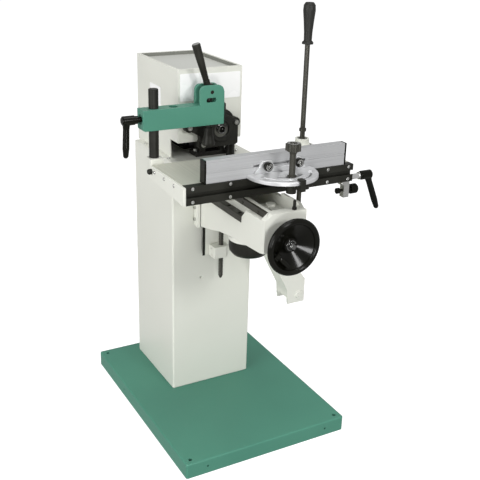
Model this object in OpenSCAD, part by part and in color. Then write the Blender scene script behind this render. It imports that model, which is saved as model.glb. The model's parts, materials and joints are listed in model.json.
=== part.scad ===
// Horizontal slot mortiser: a pedestal machine with a fixed motor spindle, a knee that is raised by a
// handwheel, a two-way table moved by a tall control lever,
// a mitre fence and a swinging hold-down clamp.
// Millimetres, +Z up. The operator stands at -Y. The origin is the centre of the base, on the floor.

/* [Base and column] */
// width of the base pan
base_w = 508; // [460:1:560]
// depth of the base pan
base_d = 670; // [620:1:720]
// height of the base pan
base_h = 44; // [36:1:56]
// thickness of the folded sheet of the base pan
sheet_t = 4; // [3:0.5:6]
// width of the column
column_w = 259; // [250:1:290]
// depth of the column
column_d = 274; // [262:1:300]
// height of the deck above the floor
deck_z = 762; // [756:1:766]

/* [Motor cover and spindle] */
// width of the motor cover
cover_w = 195; // [190:1:200]
// height of the motor cover above the deck
cover_h = 256; // [240:1:280]
// height of the spindle axis
spindle_z = 850; // [848:0.5:852]
// bore diameter of the chuck
chuck_bore_d = 16; // [10:0.5:20]

/* [Knee and handwheel] */
// width of the knee
knee_w = 120; // [116:1:124]
// height of the handwheel axis
wheel_z = 650; // [648:0.5:652]
// outside diameter of the handwheel
wheel_d = 150; // [140:1:160]
// diameter of the elevation screw
screw_d = 14; // [12:0.5:16]
// teeth on each mitre gear
gear_teeth = 14; // [12:1:16]

/* [Table and fence] */
// length of the table
table_l = 497; // [480:1:510]
// depth of the table, rail included
table_d = 207; // [200:1:214]
// height of the table top
table_z = 790; // [788:0.5:792]
// length of the fence, end caps included
fence_l = 421; // [380:1:430]
// height of the fence
fence_h = 59; // [50:1:66]
// radius of the mitre half disc
mitre_r = 95; // [88:1:97]

/* [Hold-down clamp] */
// diameter of the clamp post
post_d = 26; // [22:1:28]
// top of the clamp post
post_top = 985; // [970:1:1000]
// height of the clamp arm
arm_h = 55; // [48:1:58]
// eccentricity of the clamp cam
cam_e = 5; // [3:0.5:6]

/* [Control lever] */
// diameter of the control lever rod
lever_d = 14; // [12:0.5:15]
// top of the control lever grip
lever_top = 1193; // [1150:1:1230]
// height of the control lever pivot
pivot_z = 345; // [340:1:350]

/* [Hidden] */
$fn = 48;
tiny = 0.01;
// gap between faces that slide on each other
slip = 0.15;
// radial clearance of a shaft that turns in a bore
running = 0.05;
// radial clearance of a screw in its hole
loose = 0.2;
column_front = 24;
column_back = column_front + column_d;
deck_t = 4;
anchor_r = 5.5;
anchor_x = base_w / 2 - 20;
anchor_y = base_d / 2 - 20;
cover_left = -110;
cover_right = cover_left + cover_w;
cover_front = 28;
cover_back = column_back + 16;
cover_top = deck_z + cover_h;
cover_t = 3;
panel_low = 817;
spindle_x = 12;
knee_x = 6;
knee_left = knee_x - knee_w / 2;
knee_right = knee_x + knee_w / 2;
way_y = 4;
way_half = 50;
way_root = 38.5;
way_bottom = 480;
way_top = 750;
screw_y = -16;
screw_r = screw_d / 2;
gear_r = 13;
shaft_r = 9;
knee_front = -355;
// underside of the knee at the column, and the top of its walls
knee_low = wheel_z - 74;
rim_z = wheel_z + 77;
// ledge that carries the lower bar, and the upper bar on the wall above it
ledge_z = wheel_z + 18;
bar_w = 20;
bar_h = 18;
strip_t = 7;
wall_x = knee_left + bar_w;
strip_z = rim_z - bar_h;
dish_y = -178;
dish_r = knee_w / 2 - 4;
stud_x = 36;
stud_y = -344;
table_left = -218;
table_right = table_left + table_l;
table_back = -45;
table_front = table_back - table_d;
rail_d = 22;
rail_z = table_z - 48;
top_t = 20;
saddle_z = rim_z + slip;
cross_z = saddle_z + 13.85;
cross_h = 12;
cross_y = -100;
cross_half = 40;
lever_x = 230;
lever_y = -70;
lever_r = lever_d / 2;
ball_z = table_z + 22;
ball_r = 12;
mitre_x = 47;
mitre_y = table_front - 6;
fence_y = table_front + 4;
groove_z = rail_z + 25;
mitre_z = table_z + 0.3;
slot_r = 50;
fence_left = mitre_x - 214;
post_x = -203;
post_y = -23;
post_r = post_d / 2;
arm_z = 879;
arm_top = arm_z + arm_h;
arm_half = 20;
arm_left = post_x - 37;
cam_x = -43;
cam_z = arm_top + 33;
cam_r = 17;
plunger_r = 9;
// cam reach below its pin at rest, with the gap above the plunger
cam_low = cam_r - cam_e * sin(45);
plunger_top = cam_z - cam_low - 0.5;

// a profile drawn in (Y, Z), extruded along X
module along_x(x0, x1) {
    translate([x0, 0, 0]) rotate([90, 0, 90]) linear_extrude(x1 - x0) children();
}

// a profile drawn in (X, Z), extruded along Y
module along_y(y0, y1) {
    translate([0, y1, 0]) rotate([90, 0, 0]) linear_extrude(y1 - y0) children();
}

// a profile drawn in (X, Y), extruded along Z
module along_z(z0, z1) {
    translate([0, 0, z0]) linear_extrude(z1 - z0) children();
}

// a block between two corners
module block(x0, x1, y0, y1, z0, z1) {
    translate([x0, y0, z0]) cube([x1 - x0, y1 - y0, z1 - z0]);
}

module rod_x(x0, x1, y, z, r) {
    translate([x0, y, z]) rotate([0, 90, 0]) cylinder(h = x1 - x0, r = r);
}

module rod_y(x, y0, y1, z, r) {
    translate([x, y0, z]) rotate([-90, 0, 0]) cylinder(h = y1 - y0, r = r);
}

module rod_z(x, y, z0, z1, r) {
    translate([x, y, z0]) cylinder(h = z1 - z0, r = r);
}

// a rectangle with round corners, about its centre
module rounded(w, d, r) {
    square([w - 2 * r, d], center = true);
    square([w, d - 2 * r], center = true);
    for (sx = [-1, 1], sy = [-1, 1]) {
        translate([sx * (w / 2 - r), sy * (d / 2 - r)]) circle(r);
    }
}

// a slot with round ends along the first axis
module oblong(l, r) {
    square([l, 2 * r], center = true);
    for (s = [-1, 1]) {
        translate([s * l / 2, 0]) circle(r);
    }
}

// a socket screw: the head stands on the plane z = 0, the shank points down
module socket_screw(r, head_r, head_h, shank) {
    difference() {
        union() {
            cylinder(h = head_h, r = head_r);
            translate([0, 0, -shank]) cylinder(h = shank, r = r);
        }
        translate([0, 0, head_h * 0.4]) cylinder(h = head_h, r = head_r * 0.5, $fn = 6);
    }
}

// a low round-headed screw
module button_screw(r, head_r, shank) {
    difference() {
        union() {
            cylinder(h = head_r * 0.3, r = head_r);
            translate([0, 0, head_r * 0.3]) cylinder(h = head_r * 0.3, r1 = head_r, r2 = head_r * 0.6);
            translate([0, 0, -shank]) cylinder(h = shank, r = r);
        }
        translate([0, 0, head_r * 0.3]) cylinder(h = head_r, r = head_r * 0.35, $fn = 6);
    }
}

module base_pan() {
    color("mediumseagreen") difference() {
        along_z(0, base_h) rounded(base_w, base_d, 6);
        along_z(sheet_t, base_h - sheet_t) rounded(base_w - 2 * sheet_t, base_d - 2 * sheet_t, 4);
        along_z(-1, sheet_t + tiny) rounded(base_w - 100, base_d - 100, 12);
        for (sx = [-1, 1], sy = [-1, 1]) {
            rod_z(sx * anchor_x, sy * anchor_y, -1, base_h + 1, anchor_r);
        }
        for (sx = [-1, 1]) {
            rod_y(sx * 190, -base_d / 2 - 1, -base_d / 2 + sheet_t + 1, base_h / 2, 3);
        }
        rod_x(-base_w / 2 - 1, -base_w / 2 + sheet_t + 1, 120, base_h / 2, 3);
    }
}

module column() {
    color("ivory") difference() {
        translate([0, column_front + column_d / 2, 0])
            along_z(base_h, deck_z - deck_t) rounded(column_w, column_d, 5);
        for (z = way_screw_z()) {
            rod_y(knee_x, column_front - 1, column_front + 26, z, 4 + loose);
        }
        for (z = [402, 690]) {
            rod_y(knee_x - 44, column_front - 1, column_front + 6, z, 3);
        }
        for (z = [150, 175]) {
            rod_x(column_w / 2 - 6, column_w / 2 + 1, 250, z, 3);
        }
        for (sy = [-1, 1], sz = [-1, 1]) {
            rod_x(column_w / 2 - 14, column_w / 2 + 1, 215 + sy * 26, 610 + sz * 44, 2.5);
        }
    }
}

module deck_plate() {
    color("ivory") difference() {
        translate([0, column_front + column_d / 2, 0])
            along_z(deck_z - deck_t, deck_z) rounded(column_w, column_d, 5);
        for (y = cover_screw_y()) {
            rod_z(cover_left - 10, y, deck_z - deck_t - 1, deck_z + 1, 2.5 + loose);
            rod_z(cover_right + 10, y, deck_z - deck_t - 1, deck_z + 1, 2.5 + loose);
        }
    }
}

function cover_screw_y() = [70, 235];
function way_screw_z() = [498, 620, 700];
function casting_bolt_at() = [[-84, 862], [59, 866], [-43, 811]];

module motor_cover() {
    mid = (cover_left + cover_right) / 2;
    color("whitesmoke") difference() {
        union() {
            block(cover_left, cover_right, cover_front, cover_back, deck_z, cover_top);
            block(cover_left - 19, cover_left + 1, cover_front + 2, column_back - 8, deck_z,
                deck_z + cover_t);
            block(cover_right - 1, cover_right + 19, cover_front + 52, column_back - 8, deck_z,
                deck_z + cover_t);
        }
        block(cover_left + cover_t, cover_right - cover_t, cover_front + cover_t, cover_back - cover_t,
            deck_z - 1, cover_top - 14);
        block(cover_left + 8, cover_right - 8, cover_front + 8, cover_back - 8, cover_top - 11,
            cover_top + 1);
        block(cover_left - 1, mid, cover_front - 1, cover_front + 51, deck_z + cover_t, panel_low);
        block(mid, cover_right + 1, cover_front - 1, cover_front + 51, deck_z - 1, panel_low);
        block(cover_left + cover_t, cover_right - cover_t, cover_front - 1, cover_front + 10,
            deck_z - 1, panel_low);
        rod_y(spindle_x, cover_front - 1, cover_front + 10, spindle_z, 56);
        block(spindle_x - 56, spindle_x + 56, cover_front - 1, cover_front + 10, deck_z - 1, spindle_z);
        block(cover_left + 12, cover_right - 12, column_back + tiny, cover_back + 1, deck_z - 1,
            deck_z + 30);
        for (i = [0 : 5]) {
            translate([mid, 0, deck_z + 90 + i * 16])
                along_y(cover_back - 5, cover_back + 1) oblong(90, 3);
        }
        for (y = cover_screw_y()) {
            rod_z(cover_left - 10, y, deck_z - 1, deck_z + cover_t + 1, 2.5 + loose);
            rod_z(cover_right + 10, y, deck_z - 1, deck_z + cover_t + 1, 2.5 + loose);
        }
    }
}

module motor() {
    color("dimgray") difference() {
        union() {
            rod_y(spindle_x, 118, 282, spindle_z, 62);
            for (i = [0 : 15]) {
                translate([spindle_x, 0, spindle_z]) rotate([0, i * 22.5, 0])
                    block(-1.5, 1.5, 140, 262, 58, 66);
            }
            block(spindle_x - 50, spindle_x + 50, 150, 250, deck_z, deck_z + 6);
            for (s = [-1, 1]) {
                block(spindle_x + s * 32 - 4, spindle_x + s * 32 + 4, 155, 245, deck_z, spindle_z - 40);
            }
        }
        rod_y(spindle_x, 110, 152, spindle_z, 12.5 + 0.4);
    }
}

module spindle_casting() {
    color("#2b2b2d") difference() {
        union() {
            along_y(10, cover_front - 0.3) {
                polygon([[-70, 884], [-30, 922], [26, 922], [27, 889], [58, 877], [66, 862], [66, 806],
                    [58, 802],
                    [-40, 800], [-50, 814], [-52, 836], [-80, 851]]);
                for (p = casting_bolt_at()) {
                    translate(p) circle(13);
                }
            }
            rod_y(spindle_x, 4, 40, spindle_z, 34);
            rod_y(spindle_x, cover_front - 1, 118, spindle_z, 54);
            block(spindle_x - 52, spindle_x + 52, 58, 104, deck_z, deck_z + 13);
            rod_z(spindle_x + 46, 37, deck_z, 812, 12);
            block(spindle_x + 34, spindle_x + 54, 20, 37, 803, 812);
            for (s = [-1, 1]) {
                block(spindle_x + s * 30 - 7, spindle_x + s * 30 + 7, 58, 104, deck_z, spindle_z);
            }
            for (s = [-1, 1]) {
                along_x(spindle_x - 14 + s * 22, spindle_x - 6 + s * 22)
                    polygon([[10.1, 806], [10.1, 838], [5, 838]]);
            }
        }
        rod_y(spindle_x, 3, 38, spindle_z, 23);
        rod_y(spindle_x, 37, 60, spindle_z, 26);
        rod_y(spindle_x, 59, 119, spindle_z, 12.5 + 0.4);
        for (p = casting_bolt_at()) {
            rod_y(p[0], 9, cover_front, p[1], 4 + loose);
        }
        for (s = [-1, 1]) {
            rod_z(spindle_x + s * 44, 81, deck_z - 1, deck_z + 14, 4 + loose);
        }
    }
}

module spindle_bearing() {
    color("silver") translate([spindle_x, 0, spindle_z]) rotate([-90, 0, 0]) difference() {
        union() {
            translate([0, 0, 42]) cylinder(h = 17.9, r = 26);
        }
        translate([0, 0, 41]) cylinder(h = 20, r = 12.5 + running);
        translate([0, 0, 41]) rotate_extrude() translate([17, 0]) square([5, 2]);
    }
}

module casting_bolts() {
    color("gray") {
        for (p = casting_bolt_at()) {
            translate([p[0], 10, p[1]]) rotate([90, 0, 0]) socket_screw(4, 6.5, 6, 17);
        }
        for (s = [-1, 1]) {
            translate([spindle_x + s * 44, 81, deck_z + 13]) socket_screw(4, 6.5, 6, 12);
        }
    }
}

module cover_screws() {
    color("gray") for (y = cover_screw_y(), x = [cover_left - 10, cover_right + 10]) {
        translate([x, y, deck_z + cover_t]) button_screw(2.5, 5, 6);
    }
}

// male dovetail of the vertical way; grow widens it by a clearance
module way_profile(grow) {
    polygon([[knee_x - way_half - grow, way_y - grow], [knee_x + way_half + grow, way_y - grow],
        [knee_x + way_root + grow, column_front], [knee_x - way_root - grow, column_front]]);
}

module vertical_way() {
    color("#3a3d40") difference() {
        along_z(way_bottom, way_top) way_profile(0);
        for (z = way_screw_z()) {
            rod_y(knee_x, way_y - 1, column_front + 1, z, 4 + loose);
            rod_y(knee_x, way_y - 1, way_y + 9, z, 7.5);
        }
        for (s = [-1, 1]) {
            rod_y(knee_x + s * 11, way_y - 1, way_y + 12, way_bottom + 9, 2.5 + loose);
        }
    }
}

module way_screws() {
    color("gray") for (z = way_screw_z()) {
        translate([knee_x, way_y + 9, z]) rotate([90, 0, 0]) socket_screw(4, 6.5, 7, 30);
    }
}

module screw_nut() {
    color("ivory") difference() {
        along_z(way_bottom, way_bottom + 35)
            polygon([[knee_x - 30, way_y], [knee_x - 30, screw_y - 19], [knee_x + 8, screw_y - 19],
                [knee_x + 19, screw_y - 8], [knee_x + 19, way_y]]);
        rod_z(knee_x, screw_y, way_bottom - 1, way_bottom + 36, screw_r + 0.3);
        for (z = [way_bottom + 8, way_bottom + 27]) {
            rod_x(knee_x - 31, knee_x - screw_r, screw_y, z, 2.5);
        }
    }
}

module switch_box() {
    color("#333336") difference() {
        union() {
            translate([0, 215, 610]) rotate([90, 0, 90]) translate([0, 0, column_w / 2])
                linear_extrude(46) rounded(70, 112, 8);
            rod_z(column_w / 2 + 24, 215, 540, 556, 11);
            rod_z(column_w / 2 + 24, 215, 530, 542, 8);
        }
        rod_z(column_w / 2 + 24, 215, 529, 545, 4.5);
        for (dz = [-24, 24]) {
            rod_x(column_w / 2 + 26, column_w / 2 + 47, 215, 610 + dz, 15.5);
        }
        for (sy = [-1, 1], sz = [-1, 1]) {
            rod_x(column_w / 2 + 38, column_w / 2 + 47, 215 + sy * 26, 610 + sz * 47, 3.5);
        }
    }
}

module push_button(dz, high) {
    rod_x(column_w / 2 + 34, column_w / 2 + 48 + high, 215, 610 + dz, 15);
    rod_x(column_w / 2 + 48 + high - tiny, column_w / 2 + 50 + high, 215, 610 + dz, 13.5);
}

module start_button() {
    color("green") push_button(24, 0);
}

module stop_button() {
    color("red") push_button(-24, 4);
}

module spindle_shaft() {
    color("silver") {
        rod_y(spindle_x, 30, 150, spindle_z, 12.5);
    }
}

module chuck() {
    color("lightgray") difference() {
        union() {
            rod_y(spindle_x, 0, 14, spindle_z, 13);
            rod_y(spindle_x, 8, 36, spindle_z, 22);
        }
        rod_y(spindle_x, -1, 29, spindle_z, chuck_bore_d / 2);
        rod_y(spindle_x, 28, 37, spindle_z, 12.5);
        for (a = [0, 90, 180, 270]) {
            translate([spindle_x, 18, spindle_z]) rotate([0, a, 0])
                translate([0, 0, chuck_bore_d / 2 - 1]) cylinder(h = 20, r = 3);
        }
        translate([spindle_x, 0, spindle_z]) rotate([90, 0, 0]) translate([0, 0, -1.5])
            cylinder(h = 2, r1 = chuck_bore_d / 2, r2 = chuck_bore_d / 2 + 2.5);
    }
}

// side outline of the knee, in (Y, Z)
module knee_side() {
    polygon([[-2, knee_low], [-60, knee_low + 10], [-119, knee_low + 25], [-200, knee_low + 35],
        [-335, knee_low + 44], [knee_front, knee_low + 50], [knee_front, rim_z], [-2, rim_z]]);
}

// the ledge and the shoulder cut into the upper left of the knee, in (Y, Z)
module ledge_side() {
    polygon([[-4, ledge_z], [-236.3, ledge_z], [-236.3, ledge_z + bar_h], [-258, strip_z],
        [-334, strip_z], [-334, rim_z + 1], [-4, rim_z + 1]]);
}

// the open well behind the front wall of the knee, in (Y, Z)
module well_side() {
    polygon([[-4, knee_low + 22], [-32, knee_low + 22], [-119, knee_low + 37], [-215, knee_low + 48],
        [-215, rim_z - 24], [-328, rim_z - 24], [-328, rim_z + 12], [-14, rim_z + 12],
            [-14, knee_low + 96],
        [-4, knee_low + 96]]);
}

module knee() {
    wall = 10;
    color("ivory") {
        difference() {
            union() {
                along_x(knee_left, knee_right) knee_side();
                block(knee_x - 70, knee_x + 60, -4, 22, knee_low - 3, knee_low + 114);
                block(knee_left, knee_right, -4, 22, knee_low - 3, rim_z);
                rod_z(knee_x, dish_y, knee_low + 20, knee_low + 49, dish_r + 2);
                rod_y(knee_x, knee_front - 6, knee_front + 5, wheel_z, 24);
                along_x(knee_right - wall, knee_right)
                    polygon([[-248, rim_z - 1], [-248, rim_z + 10], [-328, rim_z + 10],
                        [-346, rim_z - 1]]);
            }
            along_x(knee_left - 1, wall_x) ledge_side();
            along_y(knee_front - 8, -333)
                polygon([[knee_left - 1, rim_z - 17], [knee_left + 22, rim_z + 1],
                    [knee_left - 1, rim_z + 1]]);
            along_x(wall_x + 12, knee_right - wall) well_side();
            rod_z(knee_x, screw_y, knee_low + 22, knee_low + 96, 15.5);
            rod_y(knee_x, -44, screw_y, wheel_z, 16);
            rod_y(knee_x, -230, -40, wheel_z, shaft_r + 2);
            along_z(knee_low - 4, rim_z + 1) way_profile(slip);
            along_z(knee_low - 4, rim_z + 1)
                polygon([[knee_x - way_half - 6, way_y - slip], [knee_x, way_y - slip],
                [knee_x, column_front], [knee_x - way_root - 6, column_front]]);
            rod_y(knee_x, knee_front - 7, -229, wheel_z, shaft_r + running);
            rod_z(knee_x, screw_y, knee_low - 6, knee_low + 24, screw_r + running);
            for (z = gib_screw_z()) {
                rod_x(knee_x - 71, knee_x - 42, 12, z, 3 + loose);
            }
            for (y = bracket_bolt_y(), z = bracket_bolt_z()) {
                rod_x(knee_right - 9, knee_right + 1, y, z, 4 + loose);
            }
            for (y = lower_screw_y()) {
                rod_z(knee_left + bar_w / 2, y, ledge_z - 20, ledge_z + 1, 3 + loose);
            }
            for (y = upper_screw_y()) {
                rod_x(wall_x - 1, wall_x + 9, y, strip_z + bar_h / 2, 3 + loose);
            }
            rod_z(stud_x, stud_y, rim_z - 27, rim_z + 1, 4 + loose);
        }
        rod_z(stud_x - 14, -276, rim_z - 25, rim_z - 18, 13);
        rod_z(stud_x - 4, -236, rim_z - 25, rim_z - 18, 13);
    }
}

function gib_screw_z() = [knee_low + 19, knee_low + 54, knee_low + 92];
function lower_screw_y() = [-30, -90, -150, -210];
function upper_screw_y() = [-60, -140, -220, -300];
function bracket_bolt_y() = [lever_y - 41, lever_y + 41];
function bracket_bolt_z() = [wheel_z - 36, wheel_z];

module knee_gib() {
    slope = (way_half - way_root) / (column_front - way_y);
    back = 18;
    color("#77797c") translate([knee_x - way_half, way_y, 0]) along_z(knee_low, knee_low + 114)
        polygon([[-5.5, 0], [-slip, 0], [back * slope - slip, back], [back * slope - 5.5, back]]);
}

module gib_screws() {
    color("gray") for (z = gib_screw_z()) {
        translate([knee_x - 70, 12, z]) rotate([0, -90, 0]) socket_screw(3, 5, 5, 16.5);
    }
}

module left_way_bar() {
    color("#3a3d40") difference() {
        block(knee_left, wall_x - tiny, -236, -6, ledge_z, ledge_z + bar_h);
        for (y = lower_screw_y()) {
            rod_z(knee_left + bar_w / 2, y, ledge_z - 1, ledge_z + bar_h + 1, 3 + loose);
            rod_z(knee_left + bar_w / 2, y, ledge_z + bar_h - 8, ledge_z + bar_h + 1, 5.5);
        }
        for (dx = [6, 15]) {
            rod_y(knee_left + dx, -237, -228, ledge_z + 10, 2.5);
        }
    }
}

module right_way_bar() {
    mid = strip_z + bar_h / 2;
    color("#3a3d40") difference() {
        block(wall_x - strip_t, wall_x, -333, -6, strip_z, rim_z);
        for (y = upper_screw_y()) {
            rod_x(wall_x - strip_t - 1, wall_x + 1, y, mid, 3 + loose);
            rod_x(wall_x - strip_t - 1, wall_x - 1.5, y, mid, 5.5);
        }
    }
}

module bar_screws() {
    color("gray") {
        for (y = lower_screw_y()) {
            translate([knee_left + bar_w / 2, y, ledge_z + bar_h - 8]) socket_screw(3, 5, 5, 22);
        }
        for (y = upper_screw_y()) {
            translate([wall_x - 1.5, y, strip_z + bar_h / 2])
                rotate([0, -90, 0]) socket_screw(3, 5, 5, 9);
        }
    }
}

module gear_cover() {
    color("#262628") translate([knee_x, dish_y, knee_low]) difference() {
        rotate_extrude()
            polygon([[0, -28], [32, -28], [46, -23], [dish_r - 2, -13], [dish_r, -2], [dish_r, 20],
            [0, 20]]);
        rotate_extrude()
            polygon([[0, -25], [31, -25], [44, -20], [dish_r - 5, -11], [dish_r - 3, -1],
            [dish_r - 3, 21], [0, 21]]);
    }
}

module stop_screw() {
    color("#262628") translate([stud_x, stud_y, rim_z]) {
        rod_z(0, 0, -22, 23, 4);
        cylinder(h = 6, r = 6.6, $fn = 6);
        translate([0, 0, 23]) cylinder(h = 2, r1 = 4, r2 = 2.5);
    }
}

// one cheek of the control lever bracket, in (X, Z)
module cheek_profile() {
    polygon([[knee_right + 8, wheel_z - 64], [lever_x - 44, pivot_z + 24], [lever_x - 40, pivot_z - 25],
        [lever_x + 18, pivot_z - 25], [lever_x + 18, pivot_z + 50], [lever_x - 4, pivot_z + 78],
        [knee_right + 52, wheel_z - 28], [knee_right + 8, wheel_z + 10]]);
}

module lever_bracket() {
    color("ivory") difference() {
        union() {
            difference() {
                along_y(lever_y - 32, lever_y + 32) cheek_profile();
                along_y(lever_y - 26, lever_y + 26)
                    polygon([[knee_right + 5, wheel_z - 44], [lever_x - 37, pivot_z + 26],
                    [lever_x - 36, pivot_z - 4], [lever_x - 60, pivot_z - 4],
                        [lever_x - 60, pivot_z - 60],
                    [lever_x + 40, pivot_z - 60], [lever_x + 40, wheel_z + 50],
                        [knee_right + 5, wheel_z + 50]]);
            }
            block(knee_right, knee_right + 9, lever_y - 50, lever_y + 50, wheel_z - 62, wheel_z + 12);
            for (s = [-1, 1]) {
                rod_y(lever_x, lever_y + s * 33 - 3, lever_y + s * 33 + 3, pivot_z, 13);
            }
        }
        rod_y(lever_x, lever_y - 40, lever_y + 40, pivot_z, 6 + running);
        for (y = bracket_bolt_y(), z = bracket_bolt_z()) {
            rod_x(knee_right - 1, knee_right + 10, y, z, 4 + loose);
        }
    }
}

module bracket_bolts() {
    color("gray") for (y = bracket_bolt_y(), z = bracket_bolt_z()) {
        translate([knee_right + 9, y, z]) rotate([0, 90, 0]) socket_screw(4, 6.5, 7, 17);
    }
}

// a mitre gear with its axis on Z, its apex at z = 0 and its teeth facing up
module mitre_gear(phase) {
    step = 360 / gear_teeth;
    half = step * 0.18;
    rotate_extrude()
        polygon([[0, -gear_r - 11], [10, -gear_r - 11], [10, -gear_r - 4],
        [gear_r - 1.4, -gear_r - 1.4],
        [gear_r - 4.9, -gear_r + 2.1], [0, -gear_r + 2.1]]);
    intersection() {
        rotate_extrude() polygon([[gear_r - 2, -gear_r - 2], [gear_r + 1, -gear_r + 1],
            [gear_r - 3.3, -gear_r + 4.7], [gear_r - 5.6, -gear_r + 1.8]]);
        translate([0, 0, -gear_r - 8]) linear_extrude(20) for (i = [0 : gear_teeth - 1]) {
            rotate(phase + i * step)
                polygon([[0, 0], [30 * cos(half), -30 * sin(half)], [30 * cos(half), 30 * sin(half)]]);
        }
    }
}

module handwheel() {
    rim = wheel_d / 2;
    color("#1d1d1f") translate([knee_x, 0, wheel_z]) difference() {
        union() {
            rotate([90, 0, 0]) rotate_extrude() {
                polygon([[shaft_r, 361.3], [18, 361.3], [19, 370], [rim - 14, 391], [rim - 8, 391],
                    [rim - 8, 398],
                    [rim - 15, 398], [22, 377], [18, 384], [shaft_r, 384]]);
                translate([rim - 8, 397]) circle(8);
            }
            rotate([0, 135, 0]) for (x = [33.5, 50]) {
                block(x, x + 4.5, -406, -386, -30, -18);
            }
        }
        rotate([0, 135, 0]) rod_x(30, 56, -401.5, -24, 3 + running);
        rod_z(0, -373, 10, 30, 2.5);
    }
}

module wheel_shaft() {
    color("silver") difference() {
        union() {
            rod_y(knee_x, -388, -40, wheel_z, shaft_r - tiny);
            translate([knee_x, screw_y, wheel_z]) rotate([-90, 0, 0]) mitre_gear(90 + 180 / gear_teeth);
        }
    }
}

module wheel_nut() {
    color("lightgray") translate([knee_x, -384, wheel_z]) rotate([90, 0, 0]) difference() {
        union() {
            cylinder(h = 2, r = 14);
            translate([0, 0, 2]) cylinder(h = 8, r = 11.5, $fn = 6);
            translate([0, 0, 9]) cylinder(h = 4, r1 = 9.5, r2 = 6);
        }
        translate([0, 0, -1]) cylinder(h = 5.2, r = shaft_r);
    }
}

module crank_handle() {
    color("#1d1d1f") translate([knee_x, 0, wheel_z]) rotate([0, 135, 0]) {
        rod_x(38.3, 49.7, -401.5, -24, 6);
        rod_x(33.6, 54.4, -401.5, -24, 3);
        translate([44, -401.5, -24]) rotate_extrude()
            polygon([[0, 0], [4, 0], [4, 8], [6, 12], [6.8, 28], [6, 46], [3, 50], [0, 50]]);
    }
}

// a screw whose thread is drawn as rings of one pitch
module elevation_screw() {
    pitch = 5;
    turns = 28;
    color("#4a4c4f") translate([knee_x, screw_y, 0]) rotate_extrude() polygon(concat(
        [[0, 410], [3, 410], [screw_r - 1.2, 416]],
        [for (i = [0 : turns - 1], k = [0, 1]) [screw_r - 1.2 * (1 - k), 417 + (i + k / 2) * pitch]],
        [[screw_r - 1.2, knee_low - 14], [screw_r, knee_low - 12], [screw_r, knee_low - 10],
            [11, knee_low - 10],
        [11, knee_low - 1], [screw_r, knee_low - 1], [screw_r, knee_low + 22.3], [11, knee_low + 22.3],
        [11, knee_low + 28], [6, knee_low + 28], [6, wheel_z - gear_r + 2],
            [0, wheel_z - gear_r + 2]]));
}

module bevel_gear() {
    color("gray") difference() {
        translate([knee_x, screw_y, wheel_z]) mitre_gear(270);
        rod_z(knee_x, screw_y, 600, wheel_z, 6);
    }
}

// cross dovetail in (Y, Z); grow widens it by a clearance
module cross_profile(grow) {
    polygon([[cross_y - cross_half + 8 - grow, cross_z - 1], [cross_y - cross_half + 8 - grow, cross_z],
        [cross_y - cross_half - grow, cross_z + cross_h + grow],
            [cross_y + cross_half + grow, cross_z + cross_h + grow],
        [cross_y + cross_half - 8 + grow, cross_z], [cross_y + cross_half - 8 + grow, cross_z - 1]]);
}

module saddle() {
    front = cross_y - 58;
    back = cross_y + 66;
    in = wall_x - strip_t - slip;
    color("#8b8f92") difference() {
        union() {
            block(knee_left - 40, knee_right + 40, front, back, saddle_z, cross_z);
            along_x(knee_left - 40, knee_right + 40) cross_profile(0);
            block(in - 14, in, front, back, strip_z - 7, saddle_z + 1);
            block(in - 14, wall_x - 2, front, back, strip_z - 7, strip_z - slip);
            block(knee_right + slip, knee_right + 13, front, back, rim_z - 20, saddle_z + 1);
        }
        for (x = [knee_left - 30, knee_right + 30]) {
            rod_z(x, cross_y, saddle_z - 1, cross_z + cross_h + 1, 3.2);
        }
    }
}

module table_top() {
    color("gainsboro") difference() {
        union() {
            block(table_left, table_right, table_front + rail_d, table_back, table_z - top_t, table_z);
            block(-150, 195, cross_y - 53, cross_y + 53, cross_z + 0.5, table_z - top_t + 1);
            block(table_left, table_right, table_front + rail_d, table_front + rail_d + 14, rail_z + 4,
                table_z);
            for (x = [-166, 204]) {
                block(x - 4, x + 4, table_front + rail_d, table_back - 2, rail_z + 12, table_z - 1);
            }
        }
        along_x(-151, 196) cross_profile(slip);
        rod_z(lever_x, lever_y, table_z - 60, table_z + 1, 20);
        for (x = rail_screw_x(), z = rail_screw_z()) {
            rod_y(x, table_front + rail_d - 1, table_front + rail_d + 8, z, 2.5 + loose);
        }
        for (sx = [-1, 1], sy = [-1, 1]) {
            rod_z(lever_x + sx * 22, lever_y + sy * 19, table_z - 16, table_z + 1, 2.5 + loose);
        }
        for (y = end_screw_y()) {
            rod_x(table_left - 1, table_left + 12, y, table_z - 10, 2.5 + loose);
        }
    }
}

function rail_screw_x() = [table_left + 18, -96, 118, 196, table_right - 16];
function rail_screw_z() = [rail_z + 8, rail_z + 42];
function end_screw_y() = [-80, -140, -200];

module front_rail() {
    color("#232326") difference() {
        block(table_left, table_right, table_front, table_front + rail_d, rail_z, table_z);
        block(table_left - 1, table_right + 1, table_front - 1, table_front + 5, groove_z - 6,
            groove_z + 6);
        block(table_left - 1, table_right + 1, table_front + 4, table_front + 12, groove_z - 10,
            groove_z + 10);
        for (x = rail_screw_x(), z = rail_screw_z()) {
            rod_y(x, table_front - 1, table_front + rail_d + 1, z, 2.5 + loose);
        }
        rod_x(table_right - 10, table_right + 1, table_front + 11, rail_z + 8, 5 + running);
    }
}

module table_screws() {
    color("silver") {
        for (x = rail_screw_x(), z = rail_screw_z()) {
            translate([x, table_front, z]) rotate([90, 0, 0]) button_screw(2.5, 4.5, 28);
        }
        for (y = end_screw_y()) {
            translate([table_left - 8, y, table_z - 10]) rotate([0, -90, 0]) button_screw(2.5, 4.5, 18);
        }
        for (sx = [-1, 1], sy = [-1, 1]) {
            translate([lever_x + sx * 22, lever_y + sy * 19, table_z + 14]) button_screw(2.5, 4.5, 28);
        }
    }
}

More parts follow.
